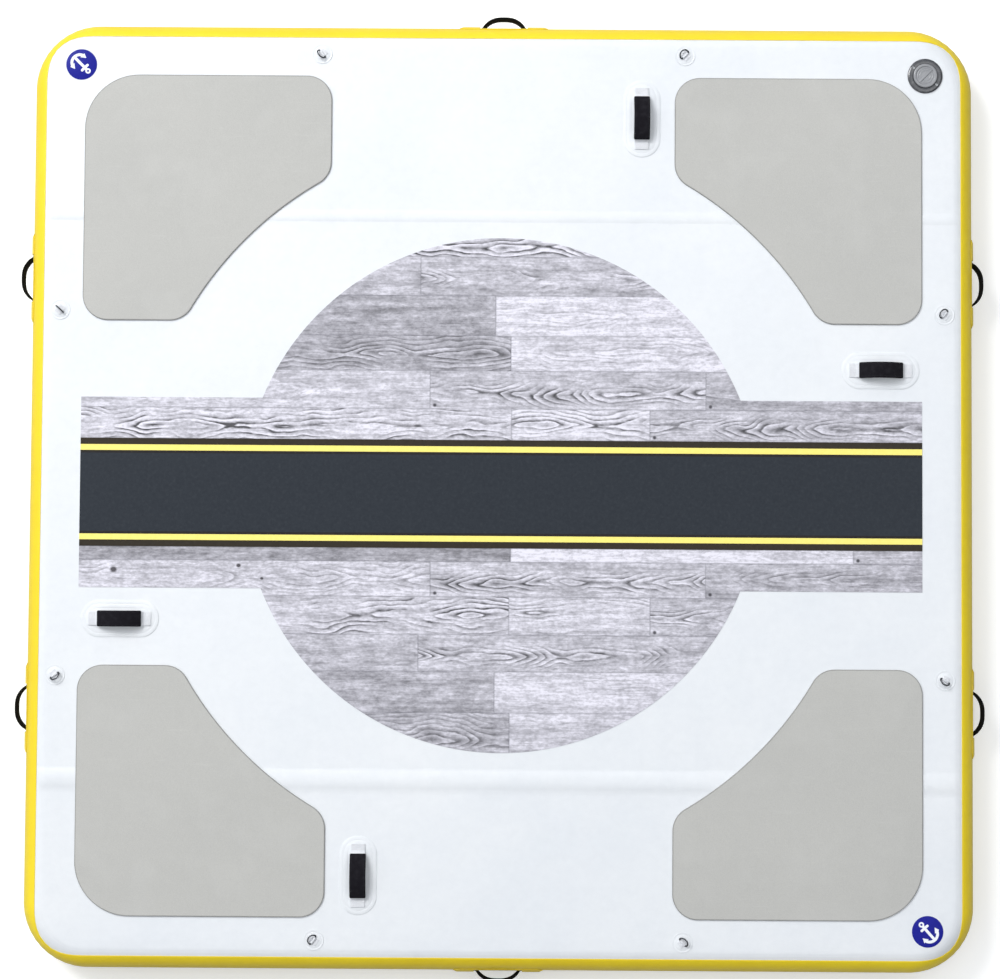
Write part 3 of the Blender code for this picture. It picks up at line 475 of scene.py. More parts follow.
def paddedCloth():
    # neoprene faced with a fine knit, dusty along the ribs
    material, tree, shader, place = startMaterial("blackNeoprene", 0.85, sheen=0.01, specular=0.14)
    knit = woven(tree, 1400.0, 900.0)
    tone = mottled(tree, place, 90.0, (0.0055, 0.0045, 0.0075, 1), (0.011, 0.010, 0.014, 1), 0.8)
    tone = tone.outputs["Color"]
    colour = mixColour(tree, scuffed(tree, place, 70.0, 0.12), tone, (0.07, 0.07, 0.08, 1))
    feed(tree, shader, colour, mapRange(tree, knit, 0.0, 1.0, 0.92, 0.74))
    addBump(tree, shader, knit, 0.0003, 0.7)
    return material


def brightSteel():
    # polished wire with a painted dark reflection: its base colour is kept low, so it looks dark all over as
    # if it mirrored a dark room
    material, tree, shader, place = startMaterial("ringSteel", 0.24, metallic=1.0)
    # painted dark reflection: a very low base colour for steel
    tone = mottled(tree, place, 120.0, (0.14, 0.145, 0.155, 1), (0.055, 0.058, 0.066, 1), 1.0)
    tone = tone.outputs["Color"]
    worn = scuffed(tree, place, 160.0, 0.8)
    feed(tree, shader, tone, mapRange(tree, worn, 0.0, 0.8, 0.17, 0.42))
    addBump(tree, shader, worn, 0.0001, 0.4)
    return material


def mouldedPlastic(name, light, dark, roughness, specular=0.45, coat=0.0):
    # glass-filled nylon: fine spark-eroded grain, dull where fingers turn it
    material, tree, shader, place = startMaterial(name, roughness, specular=specular, coat=coat)
    tone = mottled(tree, place, 55.0, light, dark, 0.8).outputs["Color"]
    colour = mixColour(tree, scuffed(tree, place, 90.0, 0.22), tone, (0.30, 0.30, 0.31, 1))
    grain = noiseAt(tree, place, 1900.0, 2.0)
    feed(tree, shader, colour, mapRange(tree, grain, 0.3, 0.7, roughness - 0.07, roughness + 0.1))
    addBump(tree, shader, grain, 0.0002, 0.5)
    return material


def twistedYarn(name, light, dark, pitch):
    # twisted yarn whose grooves between the plies are painted darker, as painted shade along the twist
    material, tree, shader, place = startMaterial(name, 0.75, sheen=0.3, specular=0.3)
    twist = addNode(tree, "ShaderNodeTexWave", {"Vector": place, "Scale": pitch, "Distortion": 0.6},
                    bands_direction="DIAGONAL")
    colour = mixColour(tree, twist.outputs["Fac"], dark, light)
    feed(tree, shader, colour, mapRange(tree, twist.outputs["Fac"], 0.0, 1.0, 0.85, 0.68))
    addBump(tree, shader, twist.outputs["Fac"], 0.0003, 0.6)
    return material


def paleFloor():
    # the camera sees a white floor, but it throws back only part of that light on the object
    material, tree, shader, place = startMaterial("studioFloor", 0.9, specular=0.1)
    tone = mottled(tree, place, 0.6, (0.98, 0.98, 0.98, 1), (0.96, 0.965, 0.97, 1), 0.6)
    seen = addNode(tree, "ShaderNodeLightPath").outputs["Is Camera Ray"]
    share = mapRange(tree, seen, 0.0, 1.0, studio["floorShare"], 1.0)
    feed(tree, shader, mixColour(tree, 1.0, tone.outputs["Color"], share, "MULTIPLY"))
    shader.inputs["Emission Color"].default_value = (1, 1, 1, 1)
    tree.links.new(calc(tree, "MULTIPLY", seen, studio["floorGlow"]), shader.inputs["Emission Strength"])
    return material


finish = {
    "white": coatedFabric("whitePvc", (0.80, 0.82, 0.84, 1), (0.735, 0.765, 0.80, 1), 4200.0, 0.00018),
    "yellow": coatedFabric("yellowPvc", (0.91, 0.70, 0.014, 1), (0.85, 0.62, 0.010, 1), 4200.0, 0.00018),
    "foam": foamSheet("greyFoam", 1.0),
    "foamCut": foamSheet("cutFoam", 0.62),
    "wood": woodInk(),
    "charcoal": flatInk("charcoalInk", (0.0155, 0.0205, 0.029, 1), (0.021, 0.027, 0.036, 1)),
    "black": flatInk("blackInk", (0.010, 0.008, 0.009, 1), (0.018, 0.015, 0.014, 1)),
    "brown": flatInk("brownInk", (0.022, 0.0165, 0.0095, 1), (0.030, 0.022, 0.012, 1)),
    "stripe": flatInk("yellowInk", (0.95, 0.83, 0.22, 1), (0.91, 0.78, 0.18, 1)),
    "blue": flatInk("blueInk", (0.009, 0.012, 0.24, 1), (0.013, 0.016, 0.28, 1), 0.4,
                    (0.10, 0.11, 0.40, 1), 0.12),
    "sign": flatInk("whiteInk", (0.86, 0.88, 0.92, 1), (0.82, 0.84, 0.88, 1), 0.4),
    "neoprene": paddedCloth(),
    "whiteTape": webbing("whiteWebbing", (0.82, 0.83, 0.85, 1), (0.69, 0.71, 0.75, 1), 560.0, 430.0),
    "blackTape": webbing("blackWebbing", (0.0075, 0.0072, 0.0075, 1), (0.003, 0.003, 0.003, 1), 560.0, 430.0,
                         0.8, 0.0),
    "steel": brightSteel(),
    "plastic": mouldedPlastic("greyNylon", (0.028, 0.030, 0.037, 1), (0.048, 0.050, 0.058, 1), 0.22,
                              0.8, 0.35),
    "capPlastic": mouldedPlastic("capNylon", (0.24, 0.245, 0.26, 1), (0.30, 0.305, 0.32, 1), 0.27, 0.6, 0.2),
    "rubber": mouldedPlastic("blackRubber", (0.018, 0.018, 0.019, 1), (0.03, 0.03, 0.032, 1), 0.78),
    "yarn": twistedYarn("coreYarn", (0.72, 0.72, 0.68, 1), (0.50, 0.50, 0.46, 1), 900.0),
    "whiteThread": twistedYarn("whiteThread", (0.80, 0.80, 0.80, 1), (0.55, 0.55, 0.57, 1), 1500.0),
    "blackThread": twistedYarn("blackThread", (0.03, 0.03, 0.032, 1), (0.008, 0.008, 0.009, 1), 1500.0),
    "floor": paleFloor(),
}


def meshFrom(bm, name):
    mesh = bpy.data.meshes.new(name)
    bm.to_mesh(mesh)
    bm.free()
    return mesh


def makeFloor():
    bm = bmesh.new()
    bmesh.ops.create_grid(bm, x_segments=2, y_segments=2, size=studio["floorHalf"])
    floor = bpy.data.objects.new("floor", meshFrom(bm, "floor"))
    floor.location.z = -studio["floorDrop"]  # no face of the dock lies in it
    floor.data.materials.append(finish["floor"])
    scene.collection.objects.link(floor)


makeFloor()

print("modelling helpers")

dock = {
    "half": 1.22, "height": 0.152, "corner": 0.168,
    "bulge": 0.060, "stripHeight": 0.039, "build": 0.0015, "skin": 0.0012, "gap": 0.0003,
    "skirtGap": 0.001, "straightSteps": 30, "cornerSteps": 56, "shoulderSteps": 14,
    "puckerDepth": 0.0004, "puckerWaves": 67.0,
}
flatHalf = dock["half"] - dock["build"] - dock["bulge"]
flatCorner = dock["corner"] - dock["build"] - dock["bulge"]
cornerMiddle = flatHalf - flatCorner
middle = dock["height"] / 2
stripTop = middle + dock["stripHeight"] / 2
shoulderRise = dock["height"] - stripTop
deckTop = dock["height"] + dock["gap"]


def vertsOf(items):
    return [item for item in items if isinstance(item, bmesh.types.BMVert)]


def facesOf(items):
    return [item for item in items if isinstance(item, bmesh.types.BMFace)]


def outline(points, z=0.0):
    # a flat face with the given edge, as the start of a piece
    bm = bmesh.new()
    bm.faces.new([bm.verts.new((x, y, z)) for x, y in points])
    return bm


def arcPoints(centre, radius, start, end, steps):
    points = []
    for step in range(steps + 1):
        angle = start + (end - start) * step / steps
        points.append((centre[0] + radius * math.cos(angle), centre[1] + radius * math.sin(angle)))
    return points


def roundBox(width, height, radius, steps=5):
    x, y = width / 2 - radius, height / 2 - radius
    points = []
    for index, (sideX, sideY) in enumerate(((1, 1), (-1, 1), (-1, -1), (1, -1))):
        start = quarter * index
        points += arcPoints((sideX * x, sideY * y), radius, start, start + quarter, steps)
    return points


def pull(bm, faces, vector):
    # extrudes faces by a vector and gives the moved faces
    made = bmesh.ops.extrude_face_region(bm, geom=faces)["geom"]
    bmesh.ops.translate(bm, verts=vertsOf(made), vec=vector)
    return facesOf(made)


def topFace(bm):
    # the largest face that looks up
    return max((face for face in bm.faces if face.normal.z > 0.9), key=lambda face: face.calc_area())


def sharpEdges(bm, degrees):
    limit = math.radians(degrees)
    return [edge for edge in bm.edges if edge.is_manifold and edge.calc_face_angle(0) > limit]


def roundEdges(bm, edges, width, segments=2):
    if edges:
        bmesh.ops.bevel(bm, geom=edges, offset=width, offset_type="OFFSET", segments=segments,
                        profile=0.5, affect="EDGES", clamp_overlap=True, material=-1)


def tidy(bm):
    bmesh.ops.remove_doubles(bm, verts=bm.verts, dist=nothing)
    bmesh.ops.dissolve_degenerate(bm, dist=nothing, edges=bm.edges)
    bmesh.ops.recalc_face_normals(bm, faces=bm.faces)


def addPart(bm, part, look=None):
    # a second shape joins a piece, with a finish of its own
    count = len(bm.faces)
    bm.from_mesh(meshFrom(part, "part"))
    if look is not None:
        bm.faces.ensure_lookup_table()
        for face in bm.faces[count:]:
            face.material_index = look


def finishPiece(name, bm, looks, body, stands=(), sharp=32.0, place=None, follow=True):
    # the built shape becomes an object that rides on its body and stands for its CAD nodes
    if place is not None:
        bmesh.ops.transform(bm, matrix=place, verts=bm.verts)
        if place.determinant() < 0:
            bmesh.ops.reverse_faces(bm, faces=bm.faces)
    mesh = meshFrom(bm, name)
    for look in looks if isinstance(looks, (list, tuple)) else [looks]:
        mesh.materials.append(finish[look])
    mesh.shade_smooth()
    mesh.set_sharp_from_angle(angle=math.radians(sharp))
    piece = bpy.data.objects.new(name, mesh)
    scene.collection.objects.link(piece)
    if stands:
        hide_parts(*stands)
    if follow:
        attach(piece, body)
    return piece


def thicken(piece, thickness):
    # a wall that grows inwards from the shape
    wall = piece.modifiers.new("thickness", "SOLIDIFY")
    wall.thickness = thickness
    wall.offset = -1.0
    wall.use_even_offset = True


def cutLine(bm, faces, point, normal):
    geom = set(faces)
    for face in faces:
        geom.update(face.verts)
        geom.update(face.edges)
    bmesh.ops.bisect_plane(bm, geom=list(geom), dist=nothing, plane_co=point, plane_no=normal)


def sweep(section, frames):
    # an outline pulled along a row of frames. Each point keeps how far along and across it lies
    bm = bmesh.new()
    cloth = bm.verts.layers.float_vector.new("cloth")
    start = []
    for u, v in section:
        vert = bm.verts.new(frames[0] @ Vector((u, v, 0)))
        vert[cloth] = (0, u, v)
        start.append(vert)
    face = bm.faces.new(start)
    along = 0.0
    for before, after in zip(frames, frames[1:]):
        face = facesOf(bmesh.ops.extrude_face_region(bm, geom=[face])["geom"])[0]
        moved = list(face.verts)
        bmesh.ops.transform(bm, matrix=after @ before.inverted(), verts=moved)
        along += (after.translation - before.translation).length
        for vert in moved:
            vert[cloth] = (along, vert[cloth][1], vert[cloth][2])
    bmesh.ops.recalc_face_normals(bm, faces=bm.faces)
    return bm


def pathFrames(points, scales=None):
    # frames along a path in X and Z: across is Y, off the path is up
    places = [Vector((x, 0, z)) for x, z in points]
    frames = []
    for index, spot in enumerate(places):
        before = places[max(index - 1, 0)]
        after = places[min(index + 1, len(places) - 1)]
        ahead = (after - before).normalized()
        across = Vector((0, 1, 0))
        off = ahead.cross(across)
        turn = Matrix((across, off, ahead)).transposed().to_4x4()
        size = scales[index] if scales else (1, 1)
        frames.append(Matrix.Translation(spot) @ turn @ Matrix.Diagonal((size[0], size[1], 1, 1)))
    return frames


def spinProfile(profile, steps, bevel=0.0, segments=2):
    # a turned piece about Z from its half section. A point at radius zero closes the middle
    bm = bmesh.new()
    verts = [bm.verts.new((radius, 0, height)) for radius, height in profile]
    edges = [bm.edges.new(pair) for pair in zip(verts, verts[1:])]
    if profile[0][0] > nothing:
        edges.append(bm.edges.new((verts[-1], verts[0])))
    bmesh.ops.spin(bm, geom=verts + edges, cent=(0, 0, 0), axis=(0, 0, 1), dvec=(0, 0, 0),
                   angle=math.tau, steps=steps, use_merge=True, use_duplicate=False)
    tidy(bm)
    if bevel:
        roundEdges(bm, sharpEdges(bm, 25.0), bevel, segments)
        tidy(bm)
    return bm


def cutWith(piece, shapes):
    # subtracts other shapes from a finished piece, for good
    for bm in shapes:
        cutter = bpy.data.objects.new("cutter", meshFrom(bm, "cutter"))
        scene.collection.objects.link(cutter)
        cut = piece.modifiers.new("cut", "BOOLEAN")
        cut.operation = "DIFFERENCE"
        cut.solver = "EXACT"
        cut.object = cutter
        bpy.context.view_layer.update()
        graph = bpy.context.evaluated_depsgraph_get()
        result = bpy.data.meshes.new_from_object(piece.evaluated_get(graph))
        piece.modifiers.clear()  # a thickness before the cut is in the result already
        piece.data = result
        bpy.data.objects.remove(cutter)


def addStitch(bm, start, end, thickness):
    # one short thread that dips into the cloth at both ends
    ahead = end - start
    length = ahead.length
    made = bmesh.ops.create_uvsphere(bm, u_segments=6, v_segments=4, radius=0.5)["verts"]
    turn = ahead.to_track_quat("X", "Z").to_matrix().to_4x4()
    size = Matrix.Diagonal((length * 0.86, thickness, thickness * 0.8, 1))
    bmesh.ops.transform(bm, matrix=Matrix.Translation((start + end) / 2) @ turn @ size, verts=made)


def stitchRow(bm, points, pitch, thickness):
    # a row of stitches along a broken line of points
    for start, end in zip(points, points[1:]):
        start, end = Vector(start), Vector(end)
        count = max(1, round((end - start).length / pitch))
        for index in range(count):
            first = start.lerp(end, index / count)
            addStitch(bm, first, start.lerp(end, (index + 1) / count), thickness)


def boxStitch(bm, x0, x1, half, pitch, thickness, height):
    # a box with a cross in it, as sewn on webbing
    corners = [(x0, -half, height), (x1, -half, height), (x1, half, height), (x0, half, height)]
    for row in (corners + corners[:1], corners[0::2], corners[1::2]):
        stitchRow(bm, row, pitch, thickness)


def sweepLoop(bm, points, frames, cloth=None):
    # an open tube along frames; gives its first and last loop of edges
    length = 0.0
    around = [0.0]
    for before, after in zip(points, points[1:]):
        around.append(around[-1] + math.dist(before, after))
    verts = []
    for index, (u, v) in enumerate(points):
        vert = bm.verts.new(frames[0] @ Vector((u, v, 0)))
        if cloth:
            vert[cloth] = (0, around[index], 0)
        verts.append(vert)
    edges = [bm.edges.new((verts[index - 1], verts[index])) for index in range(len(verts))]
    first = edges
    for before, after in zip(frames, frames[1:]):
        made = bmesh.ops.extrude_edge_only(bm, edges=edges)["geom"]
        moved = vertsOf(made)
        bmesh.ops.transform(bm, matrix=after @ before.inverted(), verts=moved)
        length += (after.translation - before.translation).length
        if cloth:
            for vert in moved:
                vert[cloth] = (length, vert[cloth][1], 0)
        edges = [item for item in made if isinstance(item, bmesh.types.BMEdge)]
    return first, edges


def placeAt(x, y, z, turn=0.0):
    return Matrix.Translation((x, y, z)) @ Matrix.Rotation(turn, 4, "Z")


print("skins and side band")


def shoulderPoint(turn, lift=0.0):
    # upper half of the wall's section: turn 0 at the flat deck, a quarter turn at the strip
    normal = Vector((math.sin(turn) / dock["bulge"], math.cos(turn) / shoulderRise)).normalized()
    reach = dock["bulge"] * math.sin(turn) + normal.x * lift
    return flatCorner + reach, stripTop + shoulderRise * math.cos(turn) + normal.y * lift


def wrapRound(points, closed=False):
    # a section, given as (past the corner's middle, height), carried round a quarter of the dock
    bm = bmesh.new()
    turnKey = bm.verts.layers.float_vector.new("section")
    verts = []
    for item in points:
        vert = bm.verts.new((cornerMiddle + item[0], 0, item[1]))
        vert[turnKey] = item[2] if len(item) > 2 else (0, 0, 0)
        verts.append(vert)
    front = [bm.edges.new(pair) for pair in zip(verts, verts[1:])]
    if closed:
        front.append(bm.edges.new((verts[-1], verts[0])))
    pitch = cornerMiddle / dock["straightSteps"]
    for move in ((0, pitch, 0), (-pitch, 0, 0)):
        for _ in range(dock["straightSteps"]):
            made = bmesh.ops.extrude_edge_only(bm, edges=front)["geom"]
            bmesh.ops.translate(bm, verts=vertsOf(made), vec=move)
            front = [item for item in made if isinstance(item, bmesh.types.BMEdge)]
        if move[1]:
            geom = list({vert for edge in front for vert in edge.verts}) + front
            made = bmesh.ops.spin(bm, geom=geom, cent=(cornerMiddle, cornerMiddle, 0), axis=(0, 0, 1),
                                  dvec=(0, 0, 0), angle=quarter, steps=dock["cornerSteps"],
                                  use_merge=False, use_duplicate=False)["geom_last"]
            front = [item for item in made if isinstance(item, bmesh.types.BMEdge)]
    return bm


def mirrorBothWays(bm):
    for axis in ("X", "Y"):
        bmesh.ops.mirror(bm, geom=bm.verts[:] + bm.edges[:] + bm.faces[:], matrix=Matrix(),
                         merge_dist=nothing, axis=axis)
    tidy(bm)


def cornerShare(x, y):
    past = Vector((abs(x) - cornerMiddle, abs(y) - cornerMiddle))
    if past.x <= 0 or past.y <= 0:
        return 0.0
    return math.atan2(past.y, past.x) / quarter


def pucker(bm):
    # shallow gathers where the flat cloth is forced round a corner, shared by skins and band
    for vert in bm.verts:
        x, y, z = vert.co
        share = cornerShare(x, y)
        rise = abs(z - middle) - dock["stripHeight"] / 2
        if not 0 < share < 1 or rise <= 0:
            continue
        side = math.sin(math.pi * min(rise / shoulderRise, 1.0))
        wave = math.sin(share * dock["puckerWaves"] + (5.0 if x > 0 else 0) + (2.0 if y > 0 else 0))
        depth = dock["puckerDepth"] * side * math.sin(math.pi * share) ** 0.5 * wave
        angle = share * quarter
        vert.co += Vector((math.copysign(math.cos(angle), x), math.copysign(math.sin(angle), y), 0)) * depth


def skinSection(stop):
    points = [(flatCorner * step / 4, dock["height"]) for step in range(5)]
    for step in range(1, dock["shoulderSteps"] + 1):
        points.append(shoulderPoint(quarter * step / dock["shoulderSteps"]))
    return points + [(flatCorner + dock["bulge"], (stripTop + stop) / 2), (flatCorner + dock["bulge"], stop)]


# the deck is three widths of fabric, joined by flat tapes
seamTapes = {
    "edges": ((0.704, 0.730), (-0.7535, -0.7103)), "lift": 0.00024, "ramp": 0.0007,
    "fadeStart": 0.012, "fadeLength": 0.010,
}


def makeSkin(name, top):
    bm = wrapRound(skinSection(middle + dock["skirtGap"]))
    grid = bmesh.ops.create_grid(bm, x_segments=dock["straightSteps"], y_segments=dock["straightSteps"],
                                 size=cornerMiddle / 2)["verts"]
    bmesh.ops.translate(bm, verts=grid, vec=(cornerMiddle / 2, cornerMiddle / 2, dock["height"]))
    mirrorBothWays(bm)
    if top:
        for low, high in seamTapes["edges"]:
            for edge in (low, low + seamTapes["ramp"], high - seamTapes["ramp"], high):
                cutLine(bm, bm.faces[:], (0, edge, 0), (0, 1, 0))
        for vert in bm.verts:
            past = abs(vert.co.x) - flatHalf - seamTapes["fadeStart"]
            fade = 1.0 - min(max(past / seamTapes["fadeLength"], 0.0), 1.0)
            for low, high in seamTapes["edges"]:
                if low + nothing < vert.co.y < high - nothing:
                    vert.co.z += seamTapes["lift"] * fade
    pucker(bm)
    if not top:
        over = Matrix.Translation((0, 0, dock["height"])) @ Matrix.Scale(-1, 4, (0, 0, 1))
        bmesh.ops.transform(bm, matrix=over, verts=bm.verts)
        bmesh.ops.recalc_face_normals(bm, faces=bm.faces)
    piece = finishPiece("dressed_" + name, bm, "white", "dock", [name])
    thicken(piece, dock["skin"])
    return piece


band = {"rim": 0.037, "cornerRim": 0.023, "steps": 16, "edgeRound": 0.0003, "edgeShare": 0.012}


def bandEdgeTurn(share):
    # how far round the shoulder the band's edge lies: the rim narrows at a corner
    rim = band["rim"] + (band["cornerRim"] - band["rim"]) * math.sin(math.pi * share) ** 2
    reach = dock["bulge"] + dock["build"] - rim
    return math.asin(min(reach / dock["bulge"], 1.0))


def bandPlace(turnShare, lift, share):
    # turnShare runs from 0 at the upper edge to 1 at the strip, and on to 2 at the lower edge
    upper = turnShare <= 1.0
    part = turnShare if upper else 2.0 - turnShare
    start = bandEdgeTurn(share)
    past, height = shoulderPoint(start + (quarter - start) * part, lift)
    return past, height if upper else dock["height"] - height


def makeBand():
    # its outer face from the upper edge to the lower one, and back along its inner face
    low, high, steps, edge = dock["gap"], dock["build"], band["steps"], band["edgeShare"]
    rounded = high - band["edgeRound"]
    keys = [(0.0, rounded), (edge, high)] + [(step / steps, high) for step in range(1, 2 * steps)]
    keys += [(2.0 - edge, high), (2.0, rounded), (2.0, low)]
    keys += [(2.0 - step / steps, low) for step in range(1, 2 * steps)] + [(0.0, low)]
    points = []
    for turnShare, lift in keys:
        past, height = bandPlace(turnShare, lift, 0.0)
        points.append((past, height, (turnShare, lift, 0)))
    bm = wrapRound(points, closed=True)
    key = bm.verts.layers.float_vector["section"]
    for vert in bm.verts:
        share = cornerShare(vert.co.x, vert.co.y)
        if share > 0:
            past, height = bandPlace(vert[key][0], vert[key][1], share)
            angle = share * quarter
            vert.co = (cornerMiddle + past * math.cos(angle), cornerMiddle + past * math.sin(angle), height)
    mirrorBothWays(bm)
    pucker(bm)
    finishPiece("dressed_side_band", bm, "yellow", "dock", ["side_band"], 50.0)


def diskCutter(radius, low, high, places, sides=48):
    bm = bmesh.new()
    for x, y, z in places:
        bmesh.ops.create_cone(bm, cap_ends=True, segments=sides, radius1=radius, radius2=radius,
                              depth=high - low, matrix=Matrix.Translation((x, y, z + (low + high) / 2)))
    return bm


valve = {
    "centre": (1.091, 1.091, 0.152), "barrel": 0.0260, "holeGap": 0.0006,
    "gasketBase": 0.0003, "gasket": 0.0012, "gasketRadius": 0.0325,
    "flangeBase": 0.0018, "flange": 0.045, "rim": 0.0050, "shelf": 0.0036, "lip": 0.0012,
    "footBase": 0.0003, "foot": 0.0340,  # the flange's foot stands on the deck, round the gasket
    "recess": 0.0315, "bore": 0.0235, "depth": 0.033, "seat": 0.0170, "seatThick": 0.0030,
    "spider": 0.018, "spiderThick": 0.0030, "port": 0.0055, "guide": 0.0034,
    "slopeStart": 0.0392, "slopeEnd": (0.0412, 0.0046),
    "spannerHole": 0.0039, "spannerReach": 0.0368, "spannerAngle": math.radians(143.5),
    "nut": 0.0340, "nutHeight": 0.0080, "nutTop": -0.0015,
}

topSkin = makeSkin("top_skin", True)
cutWith(topSkin, [diskCutter(valve["barrel"] + valve["holeGap"], -0.010, 0.010, [valve["centre"]], 64)])
topSkin.data.shade_smooth()
topSkin.data.set_sharp_from_angle(angle=math.radians(32.0))
makeSkin("bottom_skin", False)
makeBand()

print("drop-stitch core")

core = {
    "inset": 0.005, "layer": 0.0006, "pitch": 0.055, "yarn": 0.0011,
    "margin": 0.030, "opening": 0.0346, "cornerMargin": 0.012, "valveRoom": 0.046,
}


def roundedSquare(reach, steps=24):
    points = []
    radius = flatCorner + reach
    for index, (x, y) in enumerate(((1, 1), (-1, 1), (-1, -1), (1, -1))):
        start = quarter * index
        points += arcPoints((x * cornerMiddle, y * cornerMiddle), radius, start, start + quarter, steps)
    return points


def makeCore():
    low = dock["skin"] + dock["gap"]
    high = dock["height"] - low
    bm = outline(roundedSquare(-core["inset"]), low)
    pull(bm, bm.faces[:], (0, 0, core["layer"]))
    upper = outline(roundedSquare(-core["inset"]), high - core["layer"])
    pull(upper, upper.faces[:], (0, 0, core["layer"]))
    for part in (bm, upper):
        tidy(part)
    addPart(bm, upper)
    piece = finishPiece("dressed_drop_stitch_core", bm, "yarn", "dock", ["drop_stitch_core"])
    cutWith(piece, [diskCutter(core["opening"], -0.006, 0.006, [valve["centre"]], 48)])
    bm = bmesh.new()
    bm.from_mesh(piece.data)
    count = int((flatHalf - core["margin"]) / core["pitch"])
    inset = core["layer"] / 2
    for column in range(-count, count + 1):
        for row in range(-count, count + 1):
            px, py = column * core["pitch"], row * core["pitch"]
            past = Vector((max(abs(px) - cornerMiddle, 0), max(abs(py) - cornerMiddle, 0)))
            if past.length > flatCorner - core["cornerMargin"]:
                continue
            if math.dist((px, py), valve["centre"][:2]) < core["valveRoom"]:
                continue
            bmesh.ops.create_cone(bm, cap_ends=True, segments=5, radius1=core["yarn"], radius2=core["yarn"],
                                  depth=high - low - 2 * inset, matrix=Matrix.Translation((px, py, middle)))
    bm.to_mesh(piece.data)
    bm.free()


makeCore()

print("printed sheets")

prints = {
    "disc": 0.662, "strip": 0.245, "reach": 1.082, "thick": 0.0006, "bandHalf": 0.139,
    "inkEdges": (0.1005, 0.1075, 0.1225), "inks": ("charcoal", "black", "stripe", "brown"),
}
# rows of planks: lower edge, upper edge, joints along the row, and each plank's look from left to right:
# tone (1 dark), seed, strength of its figure, and lean (1 points left, 0 points right, 0.5 runs along)
plankRows = (
    (-0.1390, 0.1390, (), ((0.40, 0.10, 0.20, 0.50),)),
    (0.1390, 0.2195, (0.026, 0.382),
     ((0.26, 0.11, 1.80, 0.50), (0.18, 0.52, 1.10, 0.46), (0.46, 0.35, 1.00, 1.0))),
    (0.2195, 0.3178, (-0.184, 0.526),
     ((0.32, 0.83, 0.22, 0.40), (0.42, 0.34, 1.00, 1.0), (0.52, 0.62, 0.70, 1.0))),
    (0.3178, 0.4083, (0.024,), ((0.64, 0.47, 0.85, 0.36), (0.16, 0.91, 0.42, 0.52))),
    (0.4083, 0.5119, (-0.016,), ((0.66, 0.27, 0.10, 0.40), (0.10, 0.73, 0.30, 0.46))),
    (0.5119, 0.6131, (-0.210,), ((0.46, 0.58, 0.15, 0.60), (0.44, 0.17, 1.00, 0.0))),
    (0.6131, 0.6700, (), ((0.32, 0.39, 1.30, 0.50),)),
    (-0.1740, -0.1390, (0.026, 0.905),
     ((0.74, 0.15, 0.10, 0.5), (0.06, 0.58, 0.20, 0.5), (0.50, 0.35, 0.3, 1.0))),
    (-0.2636, -0.1740, (-0.180, 0.526),
     ((0.28, 0.76, 0.50, 0.40), (0.42, 0.29, 1.00, 1.0), (0.52, 0.66, 0.70, 1.0))),
    (-0.3609, -0.2636, (0.022, 0.384),
     ((0.28, 0.44, 1.60, 0.50), (0.22, 0.97, 0.80, 0.46), (0.46, 0.38, 1.00, 1.0))),
    (-0.4554, -0.3609, (-0.210,), ((0.44, 0.67, 0.15, 0.60), (0.42, 0.21, 1.00, 0.0))),
    (-0.5600, -0.4554, (-0.014,), ((0.60, 0.31, 0.12, 0.40), (0.16, 0.86, 0.40, 0.46))),
    (-0.6700, -0.5600, (0.025,), ((0.58, 0.05, 0.75, 0.40), (0.26, 0.64, 0.40, 0.52))),
)


def stripOutline():
    # the strip across the deck and the disc, as one outline
    half, radius, reach = prints["strip"], prints["disc"], prints["reach"]
    angle = math.asin(half / radius)
    upper = arcPoints((0, 0), radius, angle, math.pi - angle, 96)
    lower = arcPoints((0, 0), radius, math.pi + angle, math.tau - angle, 96)
    return [(reach, -half), (reach, half)] + upper + [(-reach, half), (-reach, -half)] + lower


def makeWoodSheet():
    # cut along every joint, so that each plank's corners can say how it looks
    bm = outline(stripOutline(), deckTop)
    for height in sorted({row[0] for row in plankRows} | {row[1] for row in plankRows}):
        if abs(height) < prints["disc"]:
            cutLine(bm, bm.faces[:], (0, height, 0), (0, 1, 0))
    for low, high, joints, _ in plankRows:
        for joint in joints:
            faces = [face for face in bm.faces if low < face.calc_center_median().y < high]
            cutLine(bm, faces, (joint, 0, 0), (1, 0, 0))
    pull(bm, bm.faces[:], (0, 0, prints["thick"]))
    bmesh.ops.recalc_face_normals(bm, faces=bm.faces)
    tone = bm.loops.layers.float_color.new("plank")
    grain = bm.loops.layers.float_vector.new("grain")
    rim = bm.loops.layers.float_vector.new("rim")
    for face in bm.faces:
        spot = face.calc_center_median()
        for low, high, joints, looks in plankRows:
            if low <= spot.y < high:
                break
        ends = [-1.2, *joints, 1.2]
        plank = sum(1 for joint in joints if spot.x > joint)
        for loop in face.loops:
            loop[tone] = looks[plank]
            loop[grain] = (loop.vert.co.x - ends[plank], loop.vert.co.y - low, 0)
            loop[rim] = (ends[plank + 1] - ends[plank], high - low, 0)
    finishPiece("dressed_wood_print_sheet", bm, "wood", "dock", ["wood_print_sheet"])


def makeCentreBand():
    half, reach = prints["bandHalf"], prints["reach"]
    base = deckTop + prints["thick"] + dock["gap"]
    bm = outline([(-reach, -half), (reach, -half), (reach, half), (-reach, half)], base)
    for line in prints["inkEdges"]:
        for side in (-1, 1):
            cutLine(bm, bm.faces[:], (0, side * line, 0), (0, 1, 0))
    pull(bm, bm.faces[:], (0, 0, prints["thick"]))
    bmesh.ops.recalc_face_normals(bm, faces=bm.faces)
    for face in bm.faces:
        spot = abs(face.calc_center_median().y)
        face.material_index = sum(1 for line in prints["inkEdges"] if spot > line)
    finishPiece("dressed_centre_band_sheet", bm, prints["inks"], "dock", ["centre_band_sheet"])


makeWoodSheet()
makeCentreBand()

print("anchor badges")

